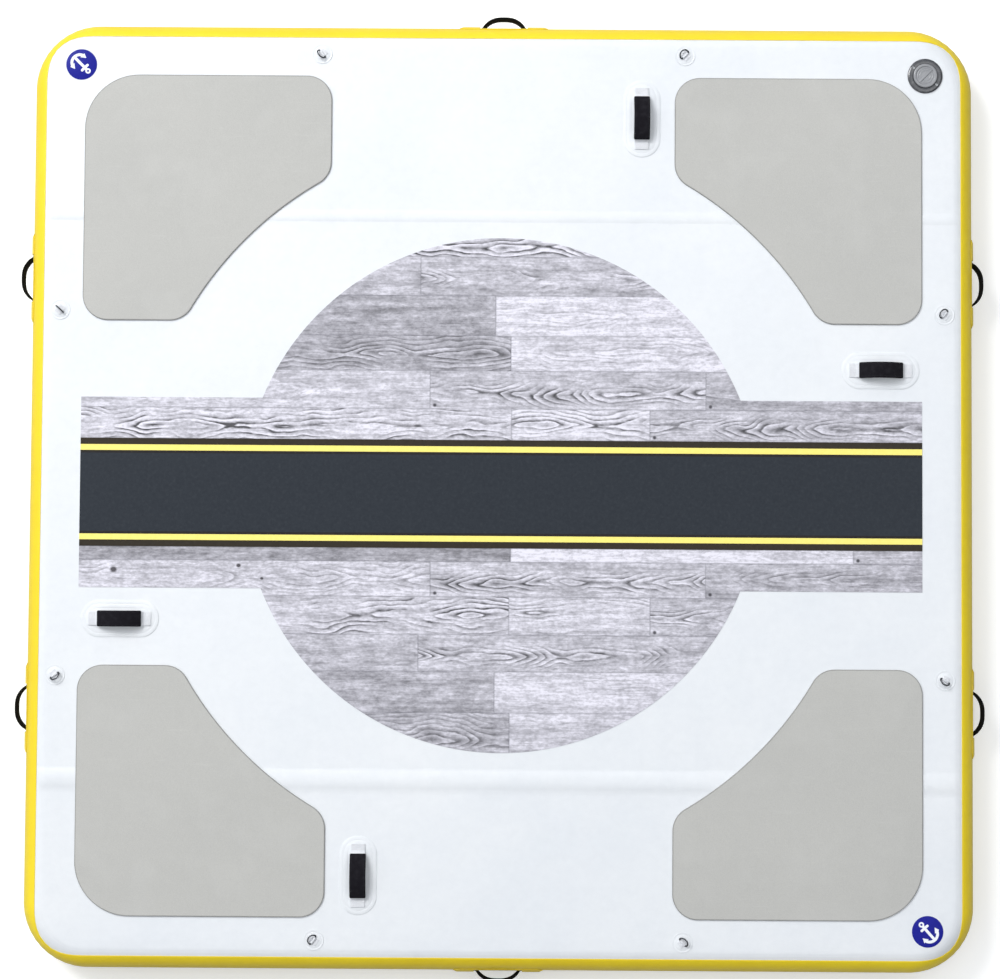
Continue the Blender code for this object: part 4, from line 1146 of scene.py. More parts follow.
badge = {
    "radius": 0.040, "thick": 0.0006, "relief": 0.00015,
    "ringPlace": 0.0238, "ringOuter": 0.0070, "ringInner": 0.0028,
    "shankHalf": 0.0036, "shankLow": -0.0270, "shankHigh": 0.0185,
    "stockHalf": 0.0128, "stockPlace": 0.0118, "stockThick": 0.0066,
    "armRadius": 0.0205, "armThick": 0.0072, "armPlace": -0.0070,
    "armStart": math.radians(200), "armEnd": math.radians(340),
    "barb": ((0.0062, -0.0020), (0.0012, 0.0105), (-0.0085, -0.0020)),
    "border": 0.94, "borderDrop": 0.00012, "eyeLift": 0.00012, "eachLift": 0.00002,
}


def anchorShapes():
    # outlines of the sign: shank, cross-bar, the curved arms with a barb at each end, and an eye
    shank, low, high = badge["shankHalf"], badge["shankLow"], badge["shankHigh"]
    shapes = [[(-shank, low), (shank, low), (shank, high), (-shank, high)]]
    half, place, thick = badge["stockHalf"], badge["stockPlace"], badge["stockThick"] / 2
    shapes.append([(x, y + place) for x, y in roundBox(2 * half, 2 * thick, thick * 0.9)])
    radius, arm, centre = badge["armRadius"], badge["armThick"] / 2, badge["armPlace"]
    start, end = badge["armStart"], badge["armEnd"]
    outer = arcPoints((0, centre), radius + arm, start, end, 28)
    inner = arcPoints((0, centre), radius - arm, end, start, 28)
    shapes.append(outer + inner)
    for side in (-1, 1):
        angle = start if side < 0 else end
        tip = Vector((radius * math.cos(angle), centre + radius * math.sin(angle)))
        barb = [tip + Vector((side * x, y)) for x, y in badge["barb"]]
        shapes.append([tuple(point) for point in (barb if side < 0 else barb[::-1])])
    return shapes


def makeBadge(name, x, y, turn):
    thick, radius, relief = badge["thick"], badge["radius"], badge["relief"]
    border = thick - badge["borderDrop"]
    edge = radius * badge["border"]
    bm = spinProfile([(0, thick), (edge - 0.01 * radius, thick), (edge, border), (radius, border),
                      (radius, 0), (0, 0)], 72, 0.00008, 1)
    for index, points in enumerate(anchorShapes()):
        face = bm.faces.new([bm.verts.new((px, py, thick - relief)) for px, py in points])
        face.material_index = 1
        pull(bm, [face], (0, 0, 2 * relief + badge["eachLift"] * index))  # each a hair over the last
    base, crest = thick - relief, thick + relief + badge["eyeLift"]
    eye = [(badge["ringOuter"], base), (badge["ringOuter"], crest),
           (badge["ringInner"], crest), (badge["ringInner"], base)]
    verts = [bm.verts.new((reach, 0, height)) for reach, height in eye]
    edges = [bm.edges.new((verts[index - 1], verts[index])) for index in range(4)]
    bmesh.ops.spin(bm, geom=verts + edges, cent=(0, 0, 0), axis=(0, 0, 1), dvec=(0, 0, 0),
                   angle=math.tau, steps=36, use_merge=True, use_duplicate=False)
    for face in bm.faces:
        spot = face.calc_center_median()
        inside = spot.xy.length < badge["ringOuter"] and spot.z > thick - relief - nothing
        if inside and all(vert.co.xy.length > badge["ringInner"] - 0.0001 for vert in face.verts):
            face.material_index = 1
    eyeVerts = {vert for vert in bm.verts if vert.co.xy.length < badge["ringOuter"] + 0.0001
                and any(abs(vert.co.z - height) < nothing for _, height in eye)
                and abs(vert.co.xy.length - badge["shankHalf"]) > 0.0001}
    ringVerts = [vert for vert in eyeVerts if len(vert.link_faces) == 4]
    bmesh.ops.translate(bm, verts=ringVerts, vec=(0, badge["ringPlace"], 0))
    bmesh.ops.recalc_face_normals(bm, faces=bm.faces)
    finishPiece("dressed_" + name, bm, ["blue", "sign"], "dock", [name],
                place=placeAt(x, y, deckTop, turn))


makeBadge("anchor_badge_rear_left", -1.094, 1.108, math.radians(225))
makeBadge("anchor_badge_front_right", 1.094, -1.108, math.radians(42))

print("traction pads")

pad = {
    "outer": 1.082, "innerSide": 0.4435, "innerEdge": 0.4435, "hollow": 0.932, "straight": 0.3515,
    "bigCorner": 0.140, "smallCorner": 0.065, "thick": 0.0040, "edge": 0.0012, "steps": 18,
    "rim": 0.0012,
}


def padOutline():
    outer, innerX, innerY = pad["outer"], pad["innerSide"], pad["innerEdge"]
    small, big, hollow, steps = pad["smallCorner"], pad["bigCorner"], pad["hollow"], pad["steps"]
    upper = Vector((innerX + small, outer - pad["straight"] * (outer - innerY)))
    lower = Vector((outer - pad["straight"] * (outer - innerX), innerY + small))
    chord = lower - upper
    back = math.sqrt((hollow + small) ** 2 - (chord.length / 2) ** 2)
    centre = (upper + lower) / 2 + Vector((chord.y, -chord.x)).normalized() * back
    start = math.atan2(upper.y - centre.y, upper.x - centre.x)
    end = math.atan2(lower.y - centre.y, lower.x - centre.x)
    points = arcPoints((outer - small, innerY + small), small, -quarter, 0, steps)
    points += arcPoints((outer - big, outer - big), big, 0, quarter, steps)
    points += arcPoints((innerX + small, outer - small), small, quarter, math.pi, steps)
    points += arcPoints(upper, small, math.pi, math.pi + start, steps)
    points += arcPoints(centre, hollow, start, end, 40)[1:-1]
    points += arcPoints(lower, small, math.pi + end, 3 * quarter, steps)
    return points


def makePad(name, signX, signY):
    # closed-cell foam, cut with a rounded edge and pressed flat
    bm = outline(padOutline(), deckTop)
    bmesh.ops.remove_doubles(bm, verts=bm.verts, dist=0.0002)
    top = pull(bm, bm.faces[:], (0, 0, pad["thick"]))[0]
    roundEdges(bm, top.edges[:], pad["edge"], 3)
    bmesh.ops.recalc_face_normals(bm, faces=bm.faces)
    top = topFace(bm)
    bmesh.ops.inset_individual(bm, faces=[top], thickness=pad["rim"], depth=0)
    for face in bm.faces:
        face.material_index = 0 if face == top else 1  # the cut edge, and a thin band of the top beside it, are darker
    piece = finishPiece("dressed_" + name, bm, ["foam", "foamCut"], "dock", [name], 40.0,
                        Matrix.Diagonal((signX, signY, 1, 1)))


for padY, padRow in ((1, "rear"), (-1, "front")):
    for padX, padSide in ((-1, "left"), (1, "right")):
        makePad("traction_pad_" + padRow + "_" + padSide, padX, padY)

print("deck handles")

handle = {
    "patchLength": 0.200, "patchWidth": 0.095, "patchThick": 0.0012,
    "web": 0.036, "webThick": 0.0024, "tab": 0.0030, "low": 0.0070, "half": 0.057, "rise": 0.020,
    "foot": 0.061, "tabEnd": 0.080, "gripHalf": 0.054, "gripWidth": 0.041, "gripThick": 0.0095,
    "gripRound": 0.0030, "slotGap": 0.0003, "footBend": 0.0030, "patchRound": 0.0004,
    "layers": (0.0085, 0.0105), "layerWide": 0.0005, "layerDown": -0.00025, "layerUp": 0.00022,
    "stitchStart": 0.0655, "stitchEnd": 0.0775, "stitchMargin": 0.0040, "stitchPitch": 0.0030,
    "thread": 0.0007,
    "gripStitchRow": 0.0165, "gripStitchPitch": 0.0036, "creaseDepth": 0.00022, "creaseWaves": 520.0,
}
handlePlaces = (
    ("rear", 0.358, 0.975, quarter),
    ("right", 0.975, 0.325, 0.0),
    ("left", -0.975, -0.325, 0.0),
    ("front", -0.358, -0.975, quarter),
)


def stadium(length, width, steps=28):
    radius = width / 2
    reach = length / 2 - radius
    points = arcPoints((reach, 0), radius, -quarter, quarter, steps)
    return points + arcPoints((-reach, 0), radius, quarter, 3 * quarter, steps)


def bend(first, corner, last, steps):
    # a smooth curve that leaves and meets two lines through their corner
    points = []
    for step in range(steps + 1):
        part = step / steps
        a, b, c = (1 - part) ** 2, 2 * part * (1 - part), part ** 2
        points.append(tuple(a * first[way] + b * corner[way] + c * last[way] for way in (0, 1)))
    return points


def archPath(sizes, steps, footBend, power=None):
    # half a strap's middle line: flat tab, a bend up, and the arch to its top. power makes a flatter top
    half, low, rise, tab = sizes["half"], sizes["low"], sizes["rise"], sizes["tab"]
    radius = (half ** 2 + rise ** 2) / (2 * rise)
    centre = low + rise - radius
    start = math.asin(half / radius)
    arch = []
    for step in range(steps + 1):
        share = 1 - step / steps
        if power:
            arch.append((-half * share, low + rise * (1 - share ** power)))
        else:
            arch.append((-radius * math.sin(start * share), centre + radius * math.cos(start * share)))
    reach = sizes["tabEnd"] - sizes["foot"] - footBend
    flat = [(-sizes["tabEnd"] + reach * step / 6, tab) for step in range(6)]
    corner = (-sizes["foot"], tab)
    return flat + bend((-sizes["foot"] - footBend, tab), corner, arch[1], 7) + arch[2:]


def wholePath(half):
    return half + [(-x, y) for x, y in reversed(half[:-1])]


def makeHandlePatch(name, place):
    bm = outline(stadium(handle["patchLength"], handle["patchWidth"]), dock["gap"])
    top = pull(bm, bm.faces[:], (0, 0, handle["patchThick"]))[0]
    roundEdges(bm, top.edges[:], handle["patchRound"], 2)
    bmesh.ops.recalc_face_normals(bm, faces=bm.faces)
    top = topFace(bm)
    # faint lines where two smaller layers lie over each other
    for width in handle["layers"]:
        bmesh.ops.inset_individual(bm, faces=[top], thickness=width, depth=0)
        for depth in (handle["layerDown"], handle["layerUp"]):
            bmesh.ops.inset_individual(bm, faces=[top], thickness=handle["layerWide"], depth=depth)
    finishPiece("dressed_handle_patch_" + name, bm, "white", "dock", ["handle_patch_" + name],
                place=place, sharp=25.0)


def makeHandleStrap(name, place):
    path = wholePath(archPath(handle, 22, handle["footBend"]))
    bm = sweep(roundBox(handle["web"], handle["webThick"], 0.0009, 4), pathFrames(path))
    threads = bmesh.new()
    for side in (-1, 1):
        x0, x1 = sorted((side * handle["stitchStart"], side * handle["stitchEnd"]))
        boxStitch(threads, x0, x1, handle["web"] / 2 - handle["stitchMargin"], handle["stitchPitch"],
                  handle["thread"], handle["tab"] + handle["webThick"] / 2)
    addPart(bm, threads, 1)
    piece = finishPiece("dressed_handle_strap_" + name, bm, ["whiteTape", "whiteThread"], "dock",
                        ["handle_strap_" + name], 45.0, place, follow=False)
    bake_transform(piece)


def makeGrip(name, place):
    # a padded sleeve round the strap's arch, with open ends and a slot that the strap runs through
    half, low, rise = handle["half"], handle["low"], handle["rise"]
    radius = (half ** 2 + rise ** 2) / (2 * rise)
    centre = low + rise - radius
    reach = math.asin(handle["gripHalf"] / radius)
    steps = 56
    path = []
    outerSizes = []
    for step in range(steps + 1):
        part = 2 * step / steps - 1
        angle = reach * part
        path.append((radius * math.sin(angle), centre + radius * math.cos(angle)))
        end = min((1 - abs(part)) / 0.06, 1.0)
        swell = 1.0 + 0.035 * (1 - part ** 4) - 0.10 * (1 - end) ** 2
        outerSizes.append((1.0 - 0.03 * (1 - end) ** 2, swell))
    bm = bmesh.new()
    cloth = bm.verts.layers.float_vector.new("cloth")
    outer = roundBox(handle["gripWidth"], handle["gripThick"], handle["gripRound"], 7)
    gap = 2 * handle["slotGap"]
    slot = roundBox(handle["web"] + gap, handle["webThick"] + gap, 0.0010, 7)
    outerEnds = sweepLoop(bm, outer, pathFrames(path, outerSizes), cloth=cloth)
    for vert in bm.verts:
        # the concave side gathers into small creases
        local = vert.co
        drop = (local.x ** 2 + (local.z - centre) ** 2) ** 0.5 - radius
        if drop < -handle["gripThick"] * 0.3:
            wander = 1.3 * math.sin(local.x * 90.0 + local.y * 60.0)
            crease = math.sin(local.x * handle["creaseWaves"] + wander)
            local.z += handle["creaseDepth"] * crease * max(0.0, 1 - (local.x / 0.052) ** 4)
    innerEnds = sweepLoop(bm, slot, pathFrames(path), cloth=cloth)
    for index in (0, 1):
        bmesh.ops.bridge_loops(bm, edges=outerEnds[index] + innerEnds[index])
    bmesh.ops.recalc_face_normals(bm, faces=bm.faces)
    threads = bmesh.new()
    lift = handle["gripThick"] / 2
    for row in (-handle["gripStitchRow"], handle["gripStitchRow"]):
        points = []
        for spot, size in list(zip(path, outerSizes))[3:-3:2]:
            out = Vector((spot[0], spot[1] - centre)).normalized() * (lift * size[1] - 0.00005)
            points.append((spot[0] + out.x, row, spot[1] + out.y))
        stitchRow(threads, points, handle["gripStitchPitch"], handle["thread"])
    addPart(bm, threads, 1)
    piece = finishPiece("dressed_handle_grip_" + name, bm, ["neoprene", "blackThread"], "handle_grip_" + name,
                        ["handle_grip_" + name], 50.0, place)


for handleName, handleX, handleY, handleTurn in handlePlaces:
    handlePlace = placeAt(handleX, handleY, dock["height"], handleTurn)
    makeHandlePatch(handleName, handlePlace)
    makeHandleStrap(handleName, handlePlace)
    makeGrip(handleName, handlePlace)

print("side grab loops")

sideLoop = {
    "web": 0.036, "webThick": 0.0030, "tab": 0.0021, "low": 0.0021, "half": 0.057, "rise": 0.0285,
    "foot": 0.0575, "tabEnd": 0.104, "fold": 0.72, "archPower": 2.8,
    "patchHalf": 0.115, "patchTall": 0.04235, "patchThick": 0.0012, "patchCorner": 0.016,
    "windowStart": 0.054, "windowEnd": 0.1043, "windowTall": 0.0183,
    "pocketStart": 0.062, "pocketEnd": 0.1138, "pocketTall": 0.0385,
    "pocketWall": 0.0014, "pocketClear": 0.0039, "footBend": 0.0018,
    "foldEnd": 0.0555, "foldRamp": 0.0070,
    "stitchRow": 0.0145, "stitchHalf": 0.046, "stitchPitch": 0.0042, "thread": 0.0008,
}
loopPlaces = (
    ("left_rear", (-1.22, 0.557), (0, 1, 0), (-1, 0, 0)),
    ("left_front", (-1.22, -0.557), (0, 1, 0), (-1, 0, 0)),
    ("right_rear", (1.22, 0.557), (0, -1, 0), (1, 0, 0)),
    ("right_front", (1.22, -0.557), (0, -1, 0), (1, 0, 0)),
    ("rear", (0, 1.22), (1, 0, 0), (0, 1, 0)),
    ("front", (0, -1.22), (-1, 0, 0), (0, -1, 0)),
)


def wallPlace(place, along, out):
    # X runs along the wall and Z straight out of it
    x, z = Vector(along), Vector(out)
    turn = Matrix((x, z.cross(x), z)).transposed().to_4x4()
    turn.translation = (*place, middle)
    return turn


def smoothStep(value):
    value = min(max(value, 0.0), 1.0)
    return value * value * (3 - 2 * value)


def overWall(x, tall, lift):
    # a point over the band, lift measured from the skin's face
    rise = abs(tall) - dock["stripHeight"] / 2
    turn = quarter
    if rise > 0:
        turn = math.acos(min(rise / shoulderRise, 1.0))
    past, height = shoulderPoint(turn, lift)
    if rise <= 0:
        height = middle + abs(tall)
    out = past - flatCorner - dock["bulge"] - dock["build"]
    return Vector((x, math.copysign(height - middle, tall), out))


def wallSheet(bm, verts, inner, outer):
    # a bent sheet from a flat grid: X along, Y up the wall. inner and outer give its two faces' lifts
    faces = list({face for vert in verts for face in vert.link_faces if vert.is_valid})
    made = bmesh.ops.extrude_face_region(bm, geom=faces)["geom"]
    moved = vertsOf(made)
    movedSet = set(moved)
    for vert in moved:
        vert.co = overWall(vert.co.x, vert.co.y, outer(vert.co.x, vert.co.y))
    for vert in verts:
        if vert.is_valid and vert not in movedSet:
            vert.co = overWall(vert.co.x, vert.co.y, inner(vert.co.x, vert.co.y))


def flatGrid(bm, x0, x1, tall, columns, rows):
    verts = bmesh.ops.create_grid(bm, x_segments=columns, y_segments=rows, size=0.5)["verts"]
    place = Matrix.Translation(((x0 + x1) / 2, 0, 0)) @ Matrix.Diagonal((x1 - x0, 2 * tall, 1, 1))
    bmesh.ops.transform(bm, matrix=place, verts=verts)
    return verts


def roundedCorner(verts, x0, x1, tall, radius):
    # draws a grid's corners in to a round outline
    for vert in verts:
        x, y = vert.co.x, vert.co.y
        for edgeX, side in ((x0, 1), (x1, -1)):
            deep = radius - side * (x - edgeX)
            high = abs(y) - (tall - radius)
            if deep > 0 and high > 0:
                reach = math.hypot(deep, high)
                most = max(deep, high)
                if reach > nothing:
                    vert.co.x = edgeX + side * (radius - deep * most / reach)
                    vert.co.y = math.copysign(tall - radius + high * most / reach, y)


def makeLoopPatch(name, place):
    # a sheet on the band with a window at each end of the loop, and a pocket over each window
    size = sideLoop
    gap = dock["build"] + dock["gap"]
    edge = gap + size["patchThick"]
    bm = bmesh.new()
    verts = flatGrid(bm, -size["patchHalf"], size["patchHalf"], size["patchTall"], 46, 20)
    for x in (-size["windowEnd"], -size["windowStart"], size["windowStart"], size["windowEnd"]):
        cutLine(bm, bm.faces[:], (x, 0, 0), (1, 0, 0))
    for y in (-size["windowTall"], size["windowTall"]):
        cutLine(bm, bm.faces[:], (0, y, 0), (0, 1, 0))
    opening = []
    for face in bm.faces:
        spot = face.calc_center_median()
        if size["windowStart"] < abs(spot.x) < size["windowEnd"] and abs(spot.y) < size["windowTall"]:
            opening.append(face)
    bmesh.ops.delete(bm, geom=opening, context="FACES")
    roundedCorner(bm.verts, -size["patchHalf"], size["patchHalf"], size["patchTall"], size["patchCorner"])
    wallSheet(bm, bm.verts[:], lambda x, y: gap, lambda x, y: edge)
    tidy(bm)
    cover = size["pocketClear"] + dock["build"]

    def raised(x, y):
        ends = smoothStep((size["pocketEnd"] - abs(x)) / 0.0085)
        sides = smoothStep((size["pocketTall"] - abs(y)) / 0.0170)
        return ends * sides

    low, lip = edge - 0.0004, edge + 0.0005
    for side in (-1, 1):
        part = bmesh.new()
        x0, x1 = sorted((side * size["pocketStart"], side * size["pocketEnd"]))
        verts = flatGrid(part, x0, x1, size["pocketTall"], 26, 34)
        wallSheet(part, verts, lambda x, y: low + (cover - low) * raised(x, y),
                  lambda x, y: lip + (cover + size["pocketWall"] - lip) * raised(x, y))
        tidy(part)
        addPart(bm, part)
    finishPiece("dressed_side_loop_patch_" + name, bm, "yellow", "dock", ["side_loop_patch_" + name],
                50.0, place)


def makeSideLoop(name, place):
    # the webbing is folded double where the hand holds it, and two rows of stitching keep it so
    size = sideLoop
    path = wholePath(archPath(size, 30, size["footBend"], size["archPower"]))
    fold = [1 + size["fold"] * smoothStep((size["foldEnd"] - abs(x)) / size["foldRamp"]) for x, _ in path]
    frames = pathFrames(path, [(1, thick) for thick in fold])
    bm = sweep(roundBox(size["web"], size["webThick"], 0.0011, 4), frames)
    threads = bmesh.new()
    for row in (-size["stitchRow"], size["stitchRow"]):
        points = [frame @ Vector((row, size["webThick"] / 2, 0)) for frame in frames
                  if abs(frame.translation.x) < size["stitchHalf"]]
        stitchRow(threads, points, size["stitchPitch"], size["thread"])
    addPart(bm, threads, 1)
    finishPiece("dressed_side_loop_" + name, bm, ["blackTape", "blackThread"], "dock", ["side_loop_" + name],
                45.0, place)


for loopName, loopSpot, loopAlong, loopOut in loopPlaces:
    loopPlace = wallPlace(loopSpot, loopAlong, loopOut)
    makeLoopPatch(loopName, loopPlace)
    makeSideLoop(loopName, loopPlace)

print("D rings")

dRing = {
    "wire": 0.0036, "inner": 0.0220, "corner": 0.0030, "patch": 0.026, "patchThick": 0.0010,
    "web": 0.0180, "webThick": 0.0012, "reach": 0.0115, "lift": 0.0031, "bend": 0.0022,
    "stitchStart": 0.0062, "stitchEnd": 0.0106, "stitchHalf": 0.0070, "stitchPitch": 0.0024, "thread": 0.0006,
}
# name, place, the way that the ring points seen from above, and how far it is raised, in degrees
ringPlaces = (
    ("rear_left", (-0.47, 1.14), 221, 50),
    ("rear_right", (0.47, 1.14), 135, 28),
    ("left_rear", (-1.14, 0.47), 48, 86),
    ("right_rear", (1.14, 0.47), 138, 35),
    ("left_front", (-1.14, -0.47), 305, 48),
    ("right_front", (1.14, -0.47), 238, 48),
    ("front_left", (-0.47, -1.14), 145, 30),
    ("front_right", (0.47, -1.14), 42, 45),
)


def makeRing(name, place):
    # a round arch over a straight bar, with a tight bend between them at both ends
    half = (dRing["inner"] + dRing["wire"]) / 2
    corner = dRing["corner"]
    points = arcPoints((0, corner), half, math.pi, 0, 36)
    points += arcPoints((half - corner, corner), corner, 0, -quarter, 7)[1:]
    points += [(half - corner - (2 * half - 2 * corner) * step / 8, 0) for step in range(1, 8)]
    points += arcPoints((corner - half, corner), corner, -quarter, -math.pi, 7)[:-1]
    count = len(points)
    frames = []
    for index in range(count + 1):
        here = Vector((*points[index % count], 0))
        ahead = Vector((*points[(index + 1) % count], 0)) - Vector((*points[index - 1 if index else -1], 0))
        if index == count:
            ahead = Vector((*points[1], 0)) - Vector((*points[-1], 0))
        ahead.normalize()
        up = Vector((0, 0, 1))
        turn = Matrix((up, ahead.cross(up), ahead)).transposed().to_4x4()
        frames.append(Matrix.Translation(here) @ turn)
    bm = bmesh.new()
    circle = arcPoints((0, 0), dRing["wire"] / 2, 0, math.tau, 14)[:-1]
    sweepLoop(bm, circle, frames)
    tidy(bm)
    finishPiece("dressed_d_ring_" + name, bm, "steel", "d_ring_" + name, ["d_ring_" + name], 60.0,
                place)


def dropPastDeck(piece):
    # a patch that overhangs the flat deck follows the shoulder down
    for vert in piece.data.vertices:
        past = max(abs(vert.co.x), abs(vert.co.y)) - flatHalf
        if past > 0:
            vert.co.z -= shoulderRise * (1 - math.sqrt(max(1 - (past / dock["bulge"]) ** 2, 0)))


def makeRingMount(name, place):
    # a round patch, and the webbing that goes over the ring's bar and is sewn down on both sides
    radius, thick = dRing["patch"], dRing["patchThick"]
    bm = spinProfile([(0, thick), (radius * 0.80, thick), (radius * 0.815, thick - 0.00018),
                      (radius * 0.83, thick), (radius - 0.0004, thick), (radius, thick - 0.0004), (radius, 0),
                      (radius * 0.5, 0), (0, 0)], 64)
    bar = thick + dock["gap"] + dRing["wire"] / 2
    arch = dRing["wire"] / 2 + dock["gap"] + dRing["webThick"] / 2
    foot = thick + dRing["webThick"] / 2 - 0.00008
    start = arch + dRing["bend"]
    rising = [(-dRing["reach"] + (dRing["reach"] - start) * step / 6, foot) for step in range(6)]
    rising += bend((-start, foot), (-arch, foot), (-arch, bar), 6)
    over = arcPoints((0, bar), arch, math.pi, quarter, 9)[1:]
    path = wholePath(rising + over)
    web = sweep(roundBox(dRing["web"], dRing["webThick"], 0.0005, 3), pathFrames(path))
    across = Matrix.Rotation(quarter, 4, "Z")
    bmesh.ops.transform(web, matrix=across, verts=web.verts)
    threads = bmesh.new()
    for side in (-1, 1):
        x0, x1 = sorted((side * dRing["stitchStart"], side * dRing["stitchEnd"]))
        boxStitch(threads, x0, x1, dRing["stitchHalf"], dRing["stitchPitch"], dRing["thread"],
                  foot + dRing["webThick"] / 2)
    bmesh.ops.transform(threads, matrix=across, verts=threads.verts)
    addPart(bm, web, 1)
    addPart(bm, threads, 2)
    piece = finishPiece("dressed_d_ring_mount_" + name, bm, ["white", "whiteTape", "whiteThread"], "dock",
                        ["d_ring_mount_" + name], 40.0, place)
    dropPastDeck(piece)


for ringName, ringSpot, ringHeading, ringRaised in ringPlaces:
    mountPlace = placeAt(*ringSpot, deckTop, math.radians(ringHeading) - quarter)
    makeRingMount(ringName, mountPlace)
    swing = Matrix.Translation((0, 0, dRing["lift"])) @ Matrix.Rotation(math.radians(ringRaised), 4, "X")
    makeRing(ringName, mountPlace @ swing)

print("valve")

valvePlace = Matrix.Translation(valve["centre"])
cap = {
    "base": 0.0052, "top": 0.0086, "radius": 0.0309, "dish": 0.0250, "floor": 0.0024,
    "skirt": 0.0228, "skirtWall": 0.0028, "skirtDepth": 0.0075,
    "ribLength": 0.047, "ribWidth": 0.0080, "ribTurn": math.radians(45), "ribTaper": 0.72,
    "ribRound": 0.0009, "sink": 0.0022, "ridges": (0.0118, 0.0178), "ridgeHeight": 0.0007,
    "beadStart": 0.0024, "bead": 0.0004,
    "sealTop": 0.0049, "sealBase": 0.0039, "sealInner": 0.0242,
}
stem = {
    "head": -0.0032, "headRadius": 0.0085, "headThick": 0.0030, "radius": 0.0030,
    "foot": 0.0070, "footThick": 0.0024, "diaphragm": 0.0205, "diaphragmThick": 0.0020,
    "wire": 0.0010, "coil": 0.0056, "turns": 4, "coilSteps": 36,
}


def ringOf(count, reach, start):
    # places round the valve's middle
    x, y, z = valve["centre"]
    angles = [start + math.tau * index / count for index in range(count)]
    return [(x + reach * math.cos(angle), y + reach * math.sin(angle), z) for angle in angles]


def makeValveBody():
    v = valve
    deep = -v["depth"]
    profile = [
        (v["recess"] + 0.0012, v["rim"]), (v["slopeStart"], v["rim"]), v["slopeEnd"],
        (v["flange"] - 0.0008, v["flangeBase"] + v["lip"] + 0.0002), (v["flange"], v["flangeBase"] + 0.0006),
        (v["flange"], v["footBase"]), (v["foot"], v["footBase"]), (v["foot"], v["flangeBase"]),
        (v["barrel"], v["flangeBase"]), (v["barrel"], deep),
        (v["seat"], deep), (v["seat"], deep + v["seatThick"]), (v["bore"], deep + v["seatThick"]),
        (v["bore"], -v["spider"] - v["spiderThick"]), (v["guide"], -v["spider"] - v["spiderThick"]),
        (v["guide"], -v["spider"]), (v["bore"], -v["spider"]), (v["bore"], v["shelf"]),
        (v["recess"], v["shelf"]), (v["recess"], v["rim"] - 0.0005),
    ]
    bm = spinProfile(profile, 96, 0.00022, 2)
    piece = finishPiece("dressed_valve_body", bm, "plastic", "dock", ["valve_body"], 34.0,
                        valvePlace)
    holes = ringOf(2, v["spannerReach"], v["spannerAngle"])
    ports = ringOf(4, (v["guide"] + v["bore"]) / 2, quarter / 2)
    cutWith(piece, [diskCutter(v["spannerHole"], -0.003, 0.010, holes, 32),
                    diskCutter(v["port"], -0.026, -0.014, ports, 32)])
    piece.data.set_sharp_from_angle(angle=math.radians(34))


def makeGasketAndNut():
    inner, outer = valve["barrel"] + dock["gap"], valve["gasketRadius"]
    low, high = valve["gasketBase"], valve["gasketBase"] + valve["gasket"]
    bm = spinProfile([(outer, high), (outer, low), (inner, low), (inner, high)], 80, 0.0003, 3)
    finishPiece("dressed_valve_gasket", bm, "rubber", "dock", ["valve_gasket"], 40.0, valvePlace)
    top = valve["nutTop"]
    bm = diskCutter(valve["nut"], top - valve["nutHeight"], top, [(0, 0, 0)], 8)
    roundEdges(bm, bm.edges[:], 0.0008, 3)
    piece = finishPiece("dressed_valve_nut", bm, "plastic", "dock", ["valve_nut"], 34.0,
                        valvePlace)
    cutWith(piece, [diskCutter(inner, -0.014, 0.003, [valve["centre"]], 80)])
    piece.data.set_sharp_from_angle(angle=math.radians(34))


def makeCap():
    base, top, radius, dish = cap["base"], cap["top"], cap["radius"], cap["dish"]
    sink = top - cap["sink"]
    under = sink - cap["floor"]
    skirt, inner, end = cap["skirt"], cap["skirt"] - cap["skirtWall"], base - cap["skirtDepth"]
    bead, beadTop = skirt + cap["bead"], base - cap["beadStart"]
    profile = [(0, sink)]
    for ridge in cap["ridges"]:
        crest = sink + cap["ridgeHeight"]
        profile += [(ridge, sink), (ridge + 0.0010, crest), (ridge + 0.0020, crest), (ridge + 0.0030, sink)]
    profile += [
        (dish - 0.0022, sink), (dish, top), (radius - 0.0022, top), (radius, top - 0.0013), (radius, base),
        (skirt, base), (skirt, beadTop), (bead, beadTop - 0.0004), (bead, beadTop - 0.0014),
        (skirt, beadTop - 0.0018), (skirt, end), (inner, end), (inner, under), (0, under),
    ]
    bm = spinProfile(profile, 96, 0.00018, 2)
    rib = bmesh.new()
    bmesh.ops.create_cube(rib, size=1.0)
    low, high = sink - cap["floor"] / 2, top - 0.0002
    scale = Matrix.Diagonal((cap["ribLength"], cap["ribWidth"], high - low, 1))
    bmesh.ops.transform(rib, matrix=Matrix.Translation((0, 0, (low + high) / 2)) @ scale, verts=rib.verts)
    for vert in rib.verts:
        if vert.co.z > low + nothing:
            vert.co.y *= cap["ribTaper"]
    roundEdges(rib, rib.edges[:], cap["ribRound"], 3)
    bmesh.ops.rotate(rib, verts=rib.verts, cent=(0, 0, 0), matrix=Matrix.Rotation(cap["ribTurn"], 3, "Z"))
    addPart(bm, rib)
    finishPiece("dressed_valve_cap", bm, "capPlastic", "valve_cap", ["valve_cap"], 34.0,
                valvePlace)
    seal = [(radius, cap["sealTop"]), (radius, cap["sealBase"]), (cap["sealInner"], cap["sealBase"]),
            (cap["sealInner"], cap["sealTop"])]
    bm = spinProfile(seal, 80, 0.0003, 3)
    finishPiece("dressed_valve_cap_seal", bm, "rubber", "valve_cap_seal", ["valve_cap_seal"], 40.0,
                valvePlace)


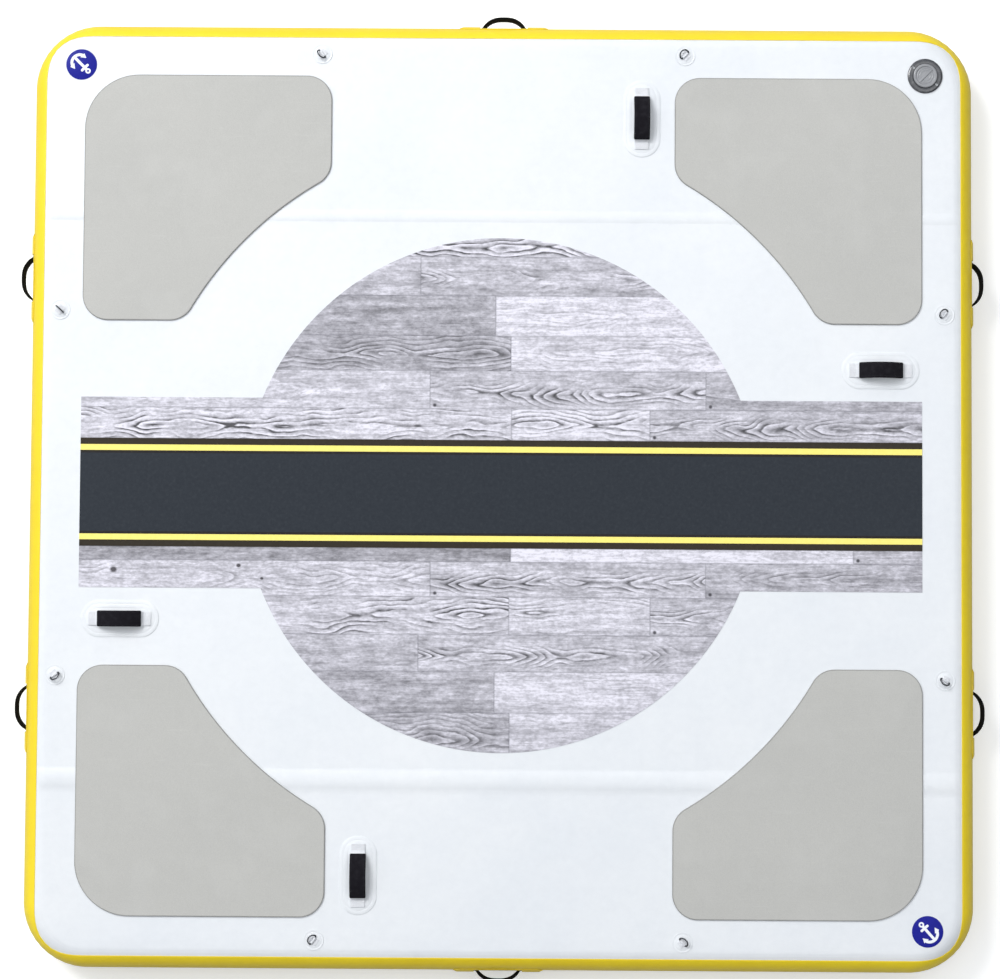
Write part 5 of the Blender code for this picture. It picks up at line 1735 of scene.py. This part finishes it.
def makeStem():
    # push button, stem and foot as one turned piece, the disc that it carries, and its spring
    head, under = stem["head"], stem["head"] - stem["headThick"]
    top = -valve["depth"] - dock["gap"]
    base = top - stem["diaphragmThick"]
    foot = base - dock["gap"]
    profile = [
        (0, head - 0.0008), (0.0040, head - 0.0006), (0.0062, head), (stem["headRadius"], head),
        (stem["headRadius"], under), (stem["radius"], under), (stem["radius"], foot), (stem["foot"], foot),
        (stem["foot"], foot - stem["footThick"]), (0, foot - stem["footThick"]),
    ]
    bm = spinProfile(profile, 64, 0.0003, 2)
    finishPiece("dressed_valve_stem", bm, "plastic", "valve_stem", ["valve_stem"], 34.0,
                valvePlace)
    inner = stem["radius"] + dock["gap"]
    disc = [(stem["diaphragm"], top), (stem["diaphragm"], base + 0.0004), (stem["diaphragm"] - 0.0010, base),
            (inner, base), (inner, top)]
    bm = spinProfile(disc, 80, 0.00025, 2)
    finishPiece("dressed_valve_diaphragm", bm, "rubber", "valve_diaphragm", ["valve_diaphragm"],
                40.0, valvePlace)
    low = -valve["spider"] + dock["gap"] + stem["wire"] / 2
    high = under - dock["gap"] - stem["wire"] / 2
    steps = stem["turns"] * stem["coilSteps"]
    places = []
    for index in range(steps + 1):
        angle = math.tau * index / stem["coilSteps"]
        height = low + (high - low) * index / steps
        places.append(Vector((stem["coil"] * math.cos(angle), stem["coil"] * math.sin(angle), height)))
    frames = []
    for index, spot in enumerate(places):
        ahead = (places[min(index + 1, len(places) - 1)] - places[max(index - 1, 0)]).normalized()
        out = Vector((spot.x, spot.y, 0)).normalized()
        up = ahead.cross(out).normalized()
        frames.append(Matrix.Translation(spot) @ Matrix((up.cross(ahead), up, ahead)).transposed().to_4x4())
    bm = sweep(arcPoints((0, 0), stem["wire"] / 2, 0, math.tau, 10)[:-1], frames)
    spring = finishPiece("dressed_valve_spring", bm, "steel", "dock", ["valve_spring"], 60.0,
                         valvePlace, follow=False)
    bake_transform(spring)


makeValveBody()
makeGasketAndNut()
makeCap()
makeStem()
